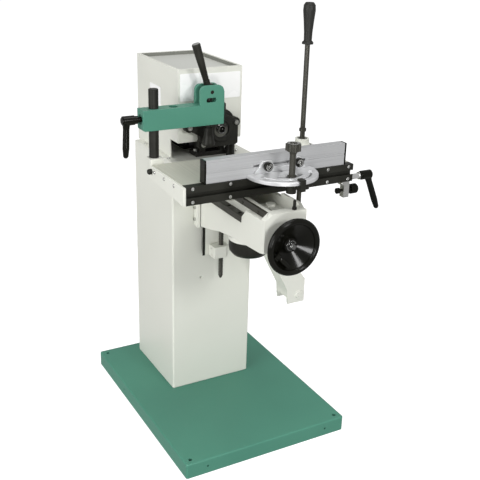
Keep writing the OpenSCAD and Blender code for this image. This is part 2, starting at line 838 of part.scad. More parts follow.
module end_plate() {
    color("whitesmoke") difference() {
        along_x(table_left - 8, table_left)
            polygon([[table_front, rail_z], [table_back - 4, rail_z + 14],
            [table_back - 4, table_z - 1], [table_front, table_z - 1]]);
        for (y = end_screw_y()) {
            rod_x(table_left - 9, table_left + 1, y, table_z - 10, 2.5 + loose);
        }
        rod_x(table_left - 9, table_left + 1, table_back - 14, table_z - 13, 3 + loose);
    }
}

module bumper_knob() {
    color("#1d1d1f") translate([table_left - 8, table_back - 14, table_z - 13]) rotate([0, -90, 0])
        rotate_extrude()
            polygon([[0, -7], [3, -7], [3, 0], [7, 0], [7.5, 3], [7.5, 8], [5, 11], [0, 12]]);
}

module post_bracket() {
    color("ivory") difference() {
        union() {
            block(post_x - 19, post_x + 19, table_back, post_y, rail_z + 8, table_z + 14);
            rod_z(post_x, post_y, rail_z + 8, table_z + 14, 19);
            block(post_x - 12, post_x + 19, table_back - 34, table_back + 1, rail_z + 8,
                table_z - top_t);
        }
        rod_z(post_x, post_y, rail_z + 14, table_z + 15, post_r);
    }
}

module clamp_post() {
    color("#232326") translate([post_x, post_y, 0]) rotate_extrude()
        polygon([[0, rail_z + 14], [post_r - 0.02, rail_z + 14],
        [post_r - 0.02, post_top - 1.5], [post_r - 1.5, post_top], [0, post_top]]);
}

module lever_block() {
    color("ivory") difference() {
        union() {
            translate([lever_x, lever_y, 0]) along_z(table_z, table_z + 14) rounded(58, 50, 6);
            rod_z(lever_x, lever_y, table_z, table_z + 32, 20);
            translate([lever_x, lever_y, table_z + 14]) cylinder(h = 8, r1 = 23, r2 = 20);
        }
        rod_z(lever_x, lever_y, table_z - 1, table_z + 41, ball_r + 2.5);
        for (sx = [-1, 1], sy = [-1, 1]) {
            rod_z(lever_x + sx * 22, lever_y + sy * 19, table_z - 1, table_z + 41, 2.5 + loose);
            rod_z(lever_x + sx * 22, lever_y + sy * 19, table_z + 14, table_z + 41, 5.5);
        }
    }
}

module stop_bracket() {
    color("ivory") difference() {
        union() {
            block(table_right - 24, table_right - 6, table_front + 3, table_front + 21, rail_z - 46,
                rail_z);
            block(table_right - 32, table_right - 6, table_front + 3, table_front + 21, rail_z - 10,
                rail_z);
        }
        rod_x(table_right - 40, table_right, table_front + 12, rail_z - 27, 4 + running);
    }
}

module mitre_base() {
    knob_y = mitre_y - slot_r;
    edge = mitre_y - mitre_r;
    color("#2a2a2d") difference() {
        union() {
            block(mitre_x - 17, mitre_x + 17, table_front - 22, table_front - 0.3, groove_z - 8,
                table_z - 0.2);
            block(mitre_x - 17, mitre_x + 17, table_front - 1, table_front + 5, groove_z - 5.7,
                groove_z + 5.7);
            block(mitre_x - 17, mitre_x + 17, table_front + 4.3, table_front + 11.7, groove_z - 9.7,
                groove_z + 9.7);
            block(mitre_x - 12, mitre_x + 12, knob_y, table_front - 21, table_z - 16, table_z - 0.2);
            rod_z(mitre_x, knob_y, table_z - 32, table_z - 0.2, 13);
            rod_z(mitre_x, mitre_y, table_z - 1, mitre_z + 8, 5);
            block(mitre_x - 6, mitre_x + 8, edge - 9, knob_y, table_z - 14, table_z - 3);
            block(mitre_x - 6, mitre_x + 26, edge + 4, edge + 16, table_z - 14, table_z - 3);
            block(mitre_x - 6, mitre_x + 8, edge - 9, edge - 3.5, table_z - 14, mitre_z + 16);
            block(mitre_x - 6, mitre_x + 8, edge - 9, edge + 11, mitre_z + 11, mitre_z + 16);
        }
        rod_z(mitre_x, knob_y, table_z - 40, table_z + 1, 7.5 + running);
    }
}

module fence() {
    mid = table_z + 0.3 + fence_h / 2;
    color("silver") along_x(fence_left + 5, fence_left + fence_l - 5) difference() {
        translate([fence_y, table_z + 0.3]) square([25, fence_h]);
        translate([fence_y - 1, mid - 3]) square([5, 6]);
        translate([fence_y + 3.5, mid - 6.5]) square([4.5, 13]);
        for (dz = [7, fence_h / 2 + 8]) {
            translate([fence_y + 6, table_z + 0.3 + dz]) square([20, fence_h / 2 - 15]);
        }
        translate([fence_y + 11, mid - 6]) square([15, 12]);
    }
}

module fence_caps() {
    color("#2a2a2d") for (x = [fence_left, fence_left + fence_l - 5]) {
        translate([x, fence_y + 12.5, table_z + 0.3 + fence_h / 2]) rotate([90, 0, 90])
            linear_extrude(5) rounded(25, fence_h, 2);
    }
}

module mitre_disc() {
    color("lightgray") translate([mitre_x, mitre_y, mitre_z]) difference() {
        intersection() {
            union() {
                cylinder(h = 8, r = mitre_r);
                translate([0, 0, 8]) cylinder(h = 2, r1 = mitre_r, r2 = mitre_r - 2);
            }
            block(-mitre_r - 1, mitre_r + 1, -mitre_r - 1, fence_y - mitre_y - 0.02, -1, 11);
        }
        translate([0, 0, -1]) cylinder(h = 12, r = 5 + running);
        translate([0, 0, -1]) rotate([0, 0, -131]) rotate_extrude(angle = 82)
            translate([slot_r - 8, 0]) square([16, 12]);
        translate([0, 0, 7.5]) rotate([0, 0, -160]) rotate_extrude(angle = 140)
            translate([mitre_r - 26, 0]) square([12, 5]);
    }
}

// the two knob stations on the fence bracket
function knob_x() = [mitre_x - 44, mitre_x + 48];

module fence_bracket() {
    mid = table_z + 0.3 + fence_h / 2;
    low = mitre_z + 10;
    color("lightgray") difference() {
        union() {
            along_y(fence_y - 8, fence_y)
                polygon([[mitre_x - 76, low], [mitre_x + 76, low], [mitre_x + 58, mid + 12],
                [mitre_x + 34, mid + 12], [mitre_x + 24, mid - 6], [mitre_x - 20, mid - 6],
                    [mitre_x - 28, mid + 12],
                [mitre_x - 54, mid + 12]]);
        }
        for (x = knob_x()) {
            rod_y(x, fence_y - 9, fence_y + 1, mid, 3 + loose);
        }
    }
}

module fence_knobs() {
    mid = table_z + 0.3 + fence_h / 2;
    color("#1d1d1f") for (x = knob_x()) {
        translate([x, fence_y - 8, mid]) rotate([90, 0, 0]) rotate_extrude()
            polygon([[0, -11], [3, -11], [3, 0], [7, 0], [7, 4], [12, 6], [12, 14], [10, 16], [5, 16],
                [4, 13], [0, 13]]);
        block(x - 8, x + 8, fence_y + 4, fence_y + 7.5, mid - 6, mid + 6);
    }
}

module star_knob() {
    knob_y = mitre_y - slot_r;
    head = table_z + 77;
    color("#3c3e41") translate([mitre_x, knob_y, 0]) difference() {
        union() {
            rotate_extrude()
                polygon([[0, table_z - 34], [7.5, table_z - 34], [7.5, mitre_z + 10.2],
                [12, mitre_z + 10.2],
                [12, mitre_z + 13], [8, mitre_z + 13], [8, head - 9], [11, head], [0, head]]);
            rod_z(0, 0, head - tiny, head + 20, 16);
            for (i = [0 : 6]) {
                rotate(i * 360 / 7) rod_z(15.5, 0, head + 1, head + 19, 4.5);
            }
        }
        rod_z(0, 0, head + 16, head + 21, 10);
    }
}

// a ratchet lever: the screw lies on +X, the handle hangs from the outer end of the hub
module ratchet_lever(screw, reach, drop, out) {
    lean = atan2(out, drop);
    long = sqrt(drop * drop + out * out);
    rod_x(-screw, 1, 0, 0, 5);
    rod_x(0, reach - 42, 0, 0, 7.5);
    rod_x(reach - 43, reach - 34, 0, 0, 10.5);
    rod_x(reach - 34, reach - 3, 0, 0, 12.5);
    rod_x(reach - 3, reach, 0, 0, 9);
    translate([reach - 13, 0, 0]) rotate([0, 180 - lean, 0]) difference() {
        rotate_extrude()
            polygon([[0, 0], [11, 0], [8.5, 22], [9, long * 0.75], [7, long - 4], [4, long],
            [0, long]]);
        translate([0, 0, long]) rotate([90, 0, 0]) translate([0, 0, 6]) cylinder(h = 8, r = 3);
    }
}

module rail_lever() {
    color("#1d1d1f") translate([table_right + 0.3, table_front + 11, rail_z + 8])
        ratchet_lever(9, 70, 104, 44);
}

module stop_knob() {
    color("#1d1d1f") translate([0, table_front + 12, rail_z - 27]) {
        rod_x(table_right - 42, table_right + 6, 0, 0, 4);
        rod_x(table_right - 42, table_right - 33, 0, 0, 8);
        rod_x(table_right - 5.7, table_right + 2, 0, 0, 7);
        rod_x(table_right + 2, table_right + 22, 0, 0, 13);
        rod_x(table_right + 22, table_right + 25, 0, 0, 10);
    }
}

module clamp_arm() {
    left = arm_left;
    right = cam_x + 36;
    slot = 11;
    color("mediumseagreen") difference() {
        union() {
            along_y(post_y - arm_half, post_y + arm_half) {
                polygon([[left + 4, arm_z], [right - 2, arm_z], [right, arm_z + 2], [right, arm_top],
                    [left, arm_top],
                    [left, arm_z + 4]]);
                translate([cam_x - 35, arm_top - 10]) square([70.9, 32]);
                translate([cam_x - 18, arm_top + 34]) circle(17);
                translate([cam_x + 18, arm_top + 34]) circle(17);
                translate([cam_x - 18, arm_top + 10]) square([36, 41]);
                translate([cam_x - 35, arm_top]) square([70.9, 34]);
            }
        }
        rod_z(post_x, post_y, arm_z - 1, arm_top + 1, post_r + running);
        rod_z(post_x + 56, post_y, arm_z - 1, arm_top + 1, 12);
        rod_z(cam_x, post_y, arm_z - 1, arm_top + 1, plunger_r + running);
        block(cam_x - 40, cam_x + 40, post_y - slot, post_y + slot, arm_top, arm_top + 60);
        rod_y(cam_x, post_y - 30, post_y + 30, cam_z, 5 + running);
        translate([cam_x - 2, 0, cam_z - 21]) along_y(post_y - 30, post_y + 30) oblong(18, 6);
        rod_x(left - 1, post_x, post_y, arm_z + 29, 5 + running);
        rod_x(left - 1, left + 3, post_y, arm_z + 29, 13);
    }
}

module arm_lever() {
    color("#1d1d1f") translate([arm_left + 2.7, post_y, arm_z + 29]) mirror([1, 0, 0])
        ratchet_lever(16, 54, 98, 4);
}

module cam_lever() {
    off = cam_e * sin(45);
    color("#242427") {
        rod_y(cam_x + off, post_y - 10, post_y + 10, cam_z + off, cam_r);
        rod_y(cam_x, post_y - arm_half, post_y + arm_half, cam_z, 5);
        translate([cam_x, post_y, cam_z]) rotate([0, -17.8, 0]) {
            cylinder(h = 30, r = 9);
            translate([0, 0, 30]) cylinder(h = 60, r1 = 8, r2 = 10.5);
            translate([0, 0, 90]) cylinder(h = 38, r1 = 10.5, r2 = 11.5);
            translate([0, 0, 128]) cylinder(h = 3, r1 = 11.5, r2 = 10);
        }
    }
}

module plunger() {
    color("#2f3033") translate([cam_x, post_y, 0]) rotate_extrude()
        polygon([[0, table_z + 30], [17, table_z + 30],
        [18, table_z + 33], [17, table_z + 39], [13, table_z + 56], [12, table_z + 78],
            [plunger_r, table_z + 80],
        [plunger_r, plunger_top - 1], [plunger_r - 1, plunger_top], [0, plunger_top]]);
}

module lever_yoke() {
    color("gray") difference() {
        union() {
            block(lever_x - 22, lever_x + 22, lever_y - 25, lever_y + 25, pivot_z - 13, pivot_z + 13);
            rod_y(lever_x, lever_y - 37, lever_y + 37, pivot_z, 6);
            for (s = [-1, 1]) {
                rod_x(lever_x + s * 22 - 2, lever_x + s * 22 + 2, lever_y, pivot_z, 10);
            }
        }
        block(lever_x - 12, lever_x + 12, lever_y - 17, lever_y + 17, pivot_z - 14, pivot_z + 14);
        rod_x(lever_x - 25, lever_x + 25, lever_y, pivot_z, 5 + running);
    }
}

module control_lever() {
    color("#2f3033") {
        rod_x(lever_x - 24, lever_x + 24, lever_y, pivot_z, 5);
        rod_x(lever_x - 11.5, lever_x + 11.5, lever_y, pivot_z, 10);
        rod_z(lever_x, lever_y, pivot_z, lever_top - 108, lever_r);
        translate([lever_x, lever_y, ball_z]) sphere(ball_r);
        rod_z(lever_x, lever_y, table_z + 52, table_z + 60, lever_r + 3);
    }
}

module lever_grip() {
    low = lever_top - 110;
    color("#1d1d1f") translate([lever_x, lever_y, low]) rotate_extrude()
        polygon([[0, 2], [lever_r, 2], [lever_r, 0],
        [15.5, 0], [15.5, 5], [11, 9], [11.5, 30], [14, 60], [17, 88], [16, 102], [11, 109], [0, 110]]);
}

base_pan();
column();
deck_plate();
motor_cover();
motor();
spindle_casting();
spindle_bearing();
casting_bolts();
cover_screws();
vertical_way();
way_screws();
screw_nut();
switch_box();
start_button();
stop_button();
spindle_shaft();
chuck();
knee();
knee_gib();
gib_screws();
left_way_bar();
right_way_bar();
bar_screws();
gear_cover();
stop_screw();
lever_bracket();
bracket_bolts();
handwheel();
wheel_shaft();
wheel_nut();
crank_handle();
elevation_screw();
bevel_gear();
saddle();
table_top();
front_rail();
table_screws();
end_plate();
bumper_knob();
post_bracket();
clamp_post();
lever_block();
stop_bracket();
mitre_base();
fence();
fence_caps();
mitre_disc();
fence_bracket();
fence_knobs();
star_knob();
rail_lever();
stop_knob();
clamp_arm();
arm_lever();
cam_lever();
plunger();
lever_yoke();
control_lever();
lever_grip();
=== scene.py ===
# %% [markdown]
# # Dressing a horizontal slot mortiser
# The solids of the machine come in as a fixed frame. Blender doesn't move them: it adds rounded edges,
# finishes, small marks, light and a camera. Each step below first says what the real thing looks like.

# %% Load the frame
import json
import math
import bmesh
import bpy
from mathutils import Matrix, Vector


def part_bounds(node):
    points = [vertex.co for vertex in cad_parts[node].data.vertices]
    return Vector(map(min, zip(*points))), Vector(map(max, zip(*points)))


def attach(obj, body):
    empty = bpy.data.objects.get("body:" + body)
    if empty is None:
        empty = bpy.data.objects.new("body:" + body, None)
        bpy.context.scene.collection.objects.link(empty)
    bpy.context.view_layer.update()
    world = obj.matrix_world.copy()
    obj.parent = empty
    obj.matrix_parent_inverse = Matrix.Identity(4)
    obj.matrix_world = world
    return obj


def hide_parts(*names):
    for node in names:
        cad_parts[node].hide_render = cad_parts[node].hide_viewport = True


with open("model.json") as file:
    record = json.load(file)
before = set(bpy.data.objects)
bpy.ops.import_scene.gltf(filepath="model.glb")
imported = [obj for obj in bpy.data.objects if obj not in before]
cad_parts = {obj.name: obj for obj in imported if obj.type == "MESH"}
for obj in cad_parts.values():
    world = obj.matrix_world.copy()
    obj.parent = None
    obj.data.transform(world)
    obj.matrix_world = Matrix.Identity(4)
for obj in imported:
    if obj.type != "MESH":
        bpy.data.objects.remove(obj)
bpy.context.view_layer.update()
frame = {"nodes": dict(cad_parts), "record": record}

nodes = frame["nodes"]
body_of_node = {}
for body, members in frame["record"]["behaviour"]["bodies"].items():
    for member in members:
        body_of_node[member] = body

# %% [markdown]
# ## Camera
# The camera was fitted to the corners of the base, column, cover and table: a lens of about 61 mm, turned
# 29 degrees to the right and tipped 22 degrees down. The three axes of the camera are written out as
# columns of a matrix, which is plainer than chaining turns.

# %% Camera
def add_object(name, data):
    thing = bpy.data.objects.new(name, data)
    bpy.context.scene.collection.objects.link(thing)
    return thing


yaw = math.radians(29.444)
pitch = math.radians(22.126)
roll = math.radians(-1.673)
camera_place = (-1.01569, -1.93660, 1.41460)
forward = Vector((math.sin(yaw) * math.cos(pitch), math.cos(yaw) * math.cos(pitch), -math.sin(pitch)))
level = Vector((math.cos(yaw), -math.sin(yaw), 0.0))
down = forward.cross(level)
right = level * math.cos(roll) + down * math.sin(roll)
up = level * math.sin(roll) - down * math.cos(roll)
camera_axes = Matrix((right, up, -forward)).transposed().to_4x4()

camera_data = bpy.data.cameras.new("photo_camera")
camera_data.sensor_width = 36.0
camera_data.lens = 60.93
camera_data.clip_end = 50.0
camera = add_object("photo_camera", camera_data)
camera.matrix_world = Matrix.Translation(camera_place) @ camera_axes
bpy.context.scene.camera = camera
print("camera lens", camera_data.lens, "mm")

# %% [markdown]
# ## Floor and light
# A catalogue picture is taken in a white room. The floor is a wide pale sheet. It glows a little, so that
# it stays white away from the lamps. Its glow is kept out of the light that falls on the machine and out of
# its reflections, or else it would wash out the low faces and turn glossy black to grey.

# %% Floor
def set_inputs(node, values):
    for socket, value in values.items():
        node.inputs[socket].default_value = value


floor_reach = 30.0
floor_drop = 0.0005
floor_signs = ((-1, -1), (1, -1), (1, 1), (-1, 1))
floor_corners = [(x * floor_reach, y * floor_reach, -floor_drop) for x, y in floor_signs]
floor_mesh = bpy.data.meshes.new("floor")
floor_mesh.from_pydata(floor_corners, [], [(0, 1, 2, 3)])
floor = add_object("floor", floor_mesh)
floor_paint = bpy.data.materials.new("pale_floor")
floor_paint.use_nodes = True
set_inputs(floor_paint.node_tree.nodes["Principled BSDF"], {
    "Base Color": (0.42, 0.42, 0.42, 1), "Roughness": 0.9, "Specular IOR Level": 0.0,
    "Emission Color": (1, 1, 1, 1), "Emission Strength": 0.83,
})
floor_mesh.materials.append(floor_paint)
floor.visible_diffuse = False
floor.visible_glossy = False
print("floor reaches", floor_reach, "m")

# %% [markdown]
# ### Backdrop
# Seen from a low place, the floor would end at a grey horizon. Four glowing walls at its edge close the
# view. Only the camera sees them: they take no part in the light, so that they change nothing on the
# machine.

# %% Backdrop
wall_height = 40.0
wall_count = len(floor_corners)
wall_tops = [(x, y, wall_height) for x, y, z in floor_corners]
wall_faces = []
for side in range(wall_count):
    after = (side + 1) % wall_count
    wall_faces.append((side, after, after + wall_count, side + wall_count))
wall_mesh = bpy.data.meshes.new("backdrop")
wall_mesh.from_pydata(floor_corners + wall_tops, [], wall_faces)
backdrop = add_object("backdrop", wall_mesh)
wall_paint = floor_paint.copy()
wall_paint.name = "pale_wall"
set_inputs(wall_paint.node_tree.nodes["Principled BSDF"], {"Emission Strength": 1.0})
wall_mesh.materials.append(wall_paint)
backdrop.visible_diffuse = False
backdrop.visible_glossy = False
backdrop.visible_transmission = False
backdrop.visible_shadow = False
print("backdrop:", len(wall_faces), "walls")

# %% [markdown]
# ### Room and lamps
# The largest lamps are big soft panels, one on the left, so that left faces are the lightest, and one
# overhead. Two small bright panels stand in front, one low and one high. Their places were found by
# mirroring the view in the cone of the handwheel, where the photograph shows two pale streaks. The plain
# "Standard" view keeps colours as they are mixed.

# %% Room and lamps
world = bpy.data.worlds.new("white_room")
world.use_nodes = True
set_inputs(world.node_tree.nodes["Background"], {"Color": (1.0, 1.0, 1.0, 1), "Strength": 0.5})
bpy.context.scene.world = world
bpy.context.scene.view_settings.view_transform = "Standard"


def soft_lamp(name, place, target, size, watts):
    lamp_data = bpy.data.lights.new(name, "AREA")
    lamp_data.shape = "RECTANGLE"
    lamp_data.size = size[0]
    lamp_data.size_y = size[1]
    lamp_data.energy = watts
    lamp = add_object(name, lamp_data)
    aim = (Vector(target) - Vector(place)).to_track_quat("-Z", "Y")
    lamp.matrix_world = Matrix.Translation(place) @ aim.to_matrix().to_4x4()
    return lamp


machine_middle = (0, 0, 0.5)
wheel_side = (0, -0.3, 0.6)
flash_size = (0.46, 0.46)
lamps = [
    soft_lamp("left_window", (-3.0, -0.9, 1.4), machine_middle, (2.4, 2.2), 63),
    soft_lamp("top_panel", (0.2, -0.7, 5.2), machine_middle, (3.2, 2.4), 87),
    soft_lamp("low_flash", (-0.83, -2.72, 0.52), wheel_side, flash_size, 18),
    soft_lamp("high_flash", (0.41, -2.6, 1.77), wheel_side, flash_size, 22),
]
print("lamps:", [lamp.name for lamp in lamps])

# %% [markdown]
# ## Shared surface effects
# Paint, plastic and steel all vary a little over the surface. Two node groups hold that variation, so
# each finish only sets their values: **surface_grain** is an even speckle for paint and mouldings, and
# **machined_lines** is noise stretched along one direction for rolled, ground or brushed metal. Both read
# Object coordinates, which are metres in the frame of the machine, so a scale of 900 is about a
# millimetre.

# %% Speckle group
def add_input(tree, label, kind, value):
    socket = tree.interface.new_socket(name=label, in_out="INPUT", socket_type=kind)
    socket.default_value = value


def start_group(name, inputs, outputs):
    group = bpy.data.node_groups.new(name, "ShaderNodeTree")
    for label, kind, value in inputs:
        add_input(group, label, kind, value)
    for label in outputs:
        group.interface.new_socket(name=label, in_out="OUTPUT", socket_type="NodeSocketFloat")
    return group, group.nodes.new("NodeGroupInput"), group.nodes.new("NodeGroupOutput")


def link_all(tree, pairs):
    for output, target in pairs:
        tree.links.new(output, target)


grain_group, grain_in, grain_out = start_group(
    "surface_grain",
    [("Fine Scale", "NodeSocketFloat", 900.0), ("Cloud Scale", "NodeSocketFloat", 6.0)],
    ["Fine", "Cloud"],
)
grain_place = grain_group.nodes.new("ShaderNodeTexCoord")
fine_noise = grain_group.nodes.new("ShaderNodeTexNoise")
set_inputs(fine_noise, {"Detail": 3.0})
cloud_noise = grain_group.nodes.new("ShaderNodeTexNoise")
set_inputs(cloud_noise, {"Detail": 4.0})
link_all(grain_group, [
    (grain_place.outputs["Object"], fine_noise.inputs["Vector"]),
    (grain_place.outputs["Object"], cloud_noise.inputs["Vector"]),
    (grain_in.outputs["Fine Scale"], fine_noise.inputs["Scale"]),
    (grain_in.outputs["Cloud Scale"], cloud_noise.inputs["Scale"]),
    (fine_noise.outputs["Fac"], grain_out.inputs["Fine"]),
    (cloud_noise.outputs["Fac"], grain_out.inputs["Cloud"]),
])
print("group:", grain_group.name, len(grain_group.links), "links")

# %% [markdown]
# The second group multiplies the coordinates by its own number on each axis before the noise reads them.
# Where that number is small, the noise changes slowly, so its specks are drawn out into lines.

# %% Line group
lines_group, lines_in, lines_out = start_group(
    "machined_lines",
    [("Stretch", "NodeSocketVector", (4.0, 900.0, 900.0)), ("Cloud Scale", "NodeSocketFloat", 9.0)],
    ["Lines", "Cloud"],
)
lines_place = lines_group.nodes.new("ShaderNodeTexCoord")
lines_stretch = lines_group.nodes.new("ShaderNodeVectorMath")
lines_stretch.operation = "MULTIPLY"
line_noise = lines_group.nodes.new("ShaderNodeTexNoise")
set_inputs(line_noise, {"Scale": 1.0, "Detail": 4.0})
lines_cloud = lines_group.nodes.new("ShaderNodeTexNoise")
link_all(lines_group, [
    (lines_place.outputs["Object"], lines_stretch.inputs[0]),
    (lines_in.outputs["Stretch"], lines_stretch.inputs[1]),
    (lines_stretch.outputs["Vector"], line_noise.inputs["Vector"]),
    (lines_place.outputs["Object"], lines_cloud.inputs["Vector"]),
    (lines_in.outputs["Cloud Scale"], lines_cloud.inputs["Scale"]),
    (line_noise.outputs["Fac"], lines_out.inputs["Lines"]),
    (lines_cloud.outputs["Fac"], lines_out.inputs["Cloud"]),
])
print("group:", lines_group.name, len(lines_group.links), "links")

# %% [markdown]
# ## Finishes
# Every finish is one Principled shader. A group output mixes two near colours, a second output moves the
# roughness over a small range, and a bump gives the texture that catches the light at grazing angles.
# Noise seldom leaves its middle span, so that span is spread over the whole range. A Mix node has a set
# of sockets for each kind of value, all with the same names, so its colour sockets are reached by number.

# %% Finish builder
noise_span = (0.3, 0.7)
mix_factor, mix_first, mix_second, mix_result = 0, 6, 7, 2


def finish_from(name, group, settings, dark, light, rough, bump, mask="cloud", metallic=0.0, specular=0.5,
        coat=0.0, coat_rough=0.1, blend=noise_span):
    material = bpy.data.materials.new(name)
    material.use_nodes = True
    tree = material.node_tree
    shader = tree.nodes["Principled BSDF"]
    set_inputs(shader, {"Metallic": metallic, "Specular IOR Level": specular, "Coat Weight": coat,
        "Coat Roughness": coat_rough})
    effect = tree.nodes.new("ShaderNodeGroup")
    effect.node_tree = group
    set_inputs(effect, settings)
    tone = tree.nodes.new("ShaderNodeMapRange")
    set_inputs(tone, {"From Min": blend[0], "From Max": blend[1]})
    colours = tree.nodes.new("ShaderNodeMix")
    colours.data_type = "RGBA"
    colours.inputs[mix_first].default_value = (*dark, 1)
    colours.inputs[mix_second].default_value = (*light, 1)
    shine = tree.nodes.new("ShaderNodeMapRange")
    set_inputs(shine, {"From Min": noise_span[0], "From Max": noise_span[1], "To Min": rough[0],
        "To Max": rough[1]})
    relief = tree.nodes.new("ShaderNodeBump")
    set_inputs(relief, {"Strength": bump[0], "Distance": bump[1]})
    fine = effect.outputs[0]
    cloud = effect.outputs[1]
    link_all(tree, [
        (fine if mask == "fine" else cloud, tone.inputs["Value"]),
        (tone.outputs["Result"], colours.inputs[mix_factor]),
        (colours.outputs[mix_result], shader.inputs["Base Color"]),
        (cloud, shine.inputs["Value"]),
        (shine.outputs["Result"], shader.inputs["Roughness"]),
        (fine, relief.inputs["Height"]),
        (relief.outputs["Normal"], shader.inputs["Normal"]),
    ])
    return material


print("a finish takes its colours from", noise_span, "of the noise")

# %% [markdown]
# Two short forms keep the lists below readable. A speckled finish gives its two scales first, and a lined
# one its stretch.

# %% Speckled and lined finishes
def speckled(name, fine_scale, cloud_scale, **look):
    return finish_from(name, grain_group, {"Fine Scale": fine_scale, "Cloud Scale": cloud_scale}, **look)


def lined(name, stretch, cloud_scale, **look):
    return finish_from(name, lines_group, {"Stretch": stretch, "Cloud Scale": cloud_scale}, **look)


print("speckle from", grain_group.name, "and lines from", lines_group.name)

# %% [markdown]
# ### Paint
# The column, cover and knee wear a smooth cream enamel, the base and the clamp arm a green one. Paint is
# a colour under a thin clear skin, so both have a little coat, and a fine bump for the flow of the paint.
# The sunk panel on top of the cover is given painted shade, a copy of the cream a shade greyer, and the
# walls of its rim a darker painted shade still, for the shade in the recess.

# %% Paint
cream_enamel = speckled("cream_enamel", 420.0, 3.0, dark=(0.675, 0.682, 0.615), light=(0.712, 0.718, 0.655),
    rough=(0.36, 0.48), bump=(0.05, 0.0006), coat=0.12, coat_rough=0.3)
# painted shade: the cream a shade greyer, for the sunk panel on the cover
painted_shade_panel = speckled("painted_shade_panel", 420.0, 3.0, dark=(0.535, 0.545, 0.505), light=(0.565, 0.575, 0.535),
    rough=(0.36, 0.48), bump=(0.05, 0.0006), coat=0.12, coat_rough=0.3)
# painted shade: dark grey for the walls of the panel's rim
painted_shade_rim = speckled("painted_shade_rim", 420.0, 3.0, dark=(0.19, 0.195, 0.17), light=(0.22, 0.225, 0.2),
    rough=(0.5, 0.6), bump=(0.05, 0.0006))
green_enamel = speckled("green_enamel", 520.0, 4.0, dark=(0.06, 0.214, 0.152), light=(0.071, 0.24, 0.17),
    rough=(0.38, 0.52), bump=(0.07, 0.0006), coat=0.05, coat_rough=0.3, specular=0.3)
print("paint:", cream_enamel.name, painted_shade_panel.name, painted_shade_rim.name, green_enamel.name)

# %% [markdown]
# ### Steel and iron
# Oxide-blacked bars are dark, a little metallic and drawn along their length. Ground iron has straight
# grinder lines across the table, and the fence is an extrusion whose lines run along it. Bright plate is
# for a chromed collar, and dark chrome for the chuck and the nut of the handwheel.

# %% Steel and iron
black_oxide = lined("black_oxide", (40.0, 500.0, 500.0), 14.0, dark=(0.012, 0.012, 0.009),
    light=(0.026, 0.026, 0.021), rough=(0.36, 0.52), bump=(0.1, 0.0003), metallic=0.25, specular=0.2)
upright_oxide = lined("upright_oxide", (60.0, 60.0, 900.0), 14.0, dark=(0.012, 0.012, 0.01),
    light=(0.026, 0.026, 0.021), rough=(0.32, 0.5), bump=(0.12, 0.0003), metallic=0.35, specular=0.25)
way_oxide = lined("way_oxide", (900.0, 30.0, 900.0), 18.0, dark=(0.028, 0.027, 0.021),
    light=(0.06, 0.058, 0.046), rough=(0.34, 0.5), bump=(0.14, 0.0003), mask="fine", metallic=0.4)
turned_steel = speckled("turned_steel", 700.0, 30.0, dark=(0.5, 0.5, 0.48), light=(0.66, 0.66, 0.64),
    rough=(0.2, 0.34), bump=(0.05, 0.0003), metallic=1.0)
brushed_alloy = lined("brushed_alloy", (3.0, 1400.0, 1400.0), 7.0, dark=(0.43, 0.435, 0.44),
    light=(0.59, 0.595, 0.6), rough=(0.36, 0.5), bump=(0.12, 0.0003), mask="fine", metallic=0.55,
    blend=(0.25, 0.75))
cast_alloy = speckled("cast_alloy", 380.0, 18.0, dark=(0.60, 0.605, 0.61), light=(0.74, 0.745, 0.75),
    rough=(0.34, 0.48), bump=(0.1, 0.0005), metallic=0.6)
ground_iron = lined("ground_iron", (700.0, 5.0, 700.0), 5.0, dark=(0.45, 0.452, 0.388),
    light=(0.63, 0.633, 0.55), rough=(0.34, 0.48), bump=(0.08, 0.0003), mask="fine", metallic=0.35,
    blend=(0.2, 0.8))
bright_plate = speckled("bright_plate", 500.0, 40.0, dark=(0.74, 0.74, 0.73), light=(0.84, 0.84, 0.83),
    rough=(0.08, 0.16), bump=(0.02, 0.0002), metallic=1.0)
dark_chrome = speckled("dark_chrome", 500.0, 40.0, dark=(0.16, 0.16, 0.155), light=(0.24, 0.24, 0.235),
    rough=(0.1, 0.18), bump=(0.02, 0.0002), metallic=1.0)
print("finishes so far:", len(bpy.data.materials))

# %% [markdown]
# ### Mouldings, castings and marks
# Most knobs, the clamping levers and the handwheel are glossy black mouldings; the spindle housing, the
# motor and the switch box have the coarser skin of painted castings; the grip is a soft rubber. Buttons,
# blank plates and scale marks end the list.

# %% Mouldings, castings and marks
cast_black = speckled("cast_black", 300.0, 25.0, dark=(0.009, 0.009, 0.007), light=(0.018, 0.018, 0.014),
    rough=(0.38, 0.55), bump=(0.25, 0.0008), specular=0.3)
moulded_black = speckled("moulded_black", 650.0, 20.0, dark=(0.003, 0.003, 0.002),
    light=(0.006, 0.006, 0.004), rough=(0.14, 0.2), bump=(0.02, 0.0004), specular=0.17)
rubber_black = speckled("rubber_black", 900.0, 22.0, dark=(0.01, 0.01, 0.008), light=(0.018, 0.018, 0.015),
    rough=(0.42, 0.58), bump=(0.2, 0.0005), specular=0.35)
go_plastic = speckled("go_plastic", 700.0, 40.0, dark=(0.03, 0.25, 0.07), light=(0.04, 0.3, 0.09),
    rough=(0.25, 0.35), bump=(0.04, 0.0003), coat=0.3)
halt_plastic = speckled("halt_plastic", 700.0, 40.0, dark=(0.42, 0.02, 0.02), light=(0.5, 0.03, 0.025),
    rough=(0.25, 0.35), bump=(0.04, 0.0003), coat=0.3)
plate_film = speckled("plate_film", 800.0, 12.0, dark=(0.9, 0.9, 0.89), light=(0.94, 0.94, 0.935),
    rough=(0.22, 0.3), bump=(0.02, 0.0002))
scale_ink = speckled("scale_ink", 900.0, 60.0, dark=(0.03, 0.03, 0.03), light=(0.06, 0.06, 0.06),
    rough=(0.5, 0.6), bump=(0.05, 0.0002), mask="fine")
print("finishes:", len(bpy.data.materials))

# %% [markdown]
# ## Which finish goes where
# The table below is by part. Every CAD part gets its finish here, also those that later show a softened
# copy.

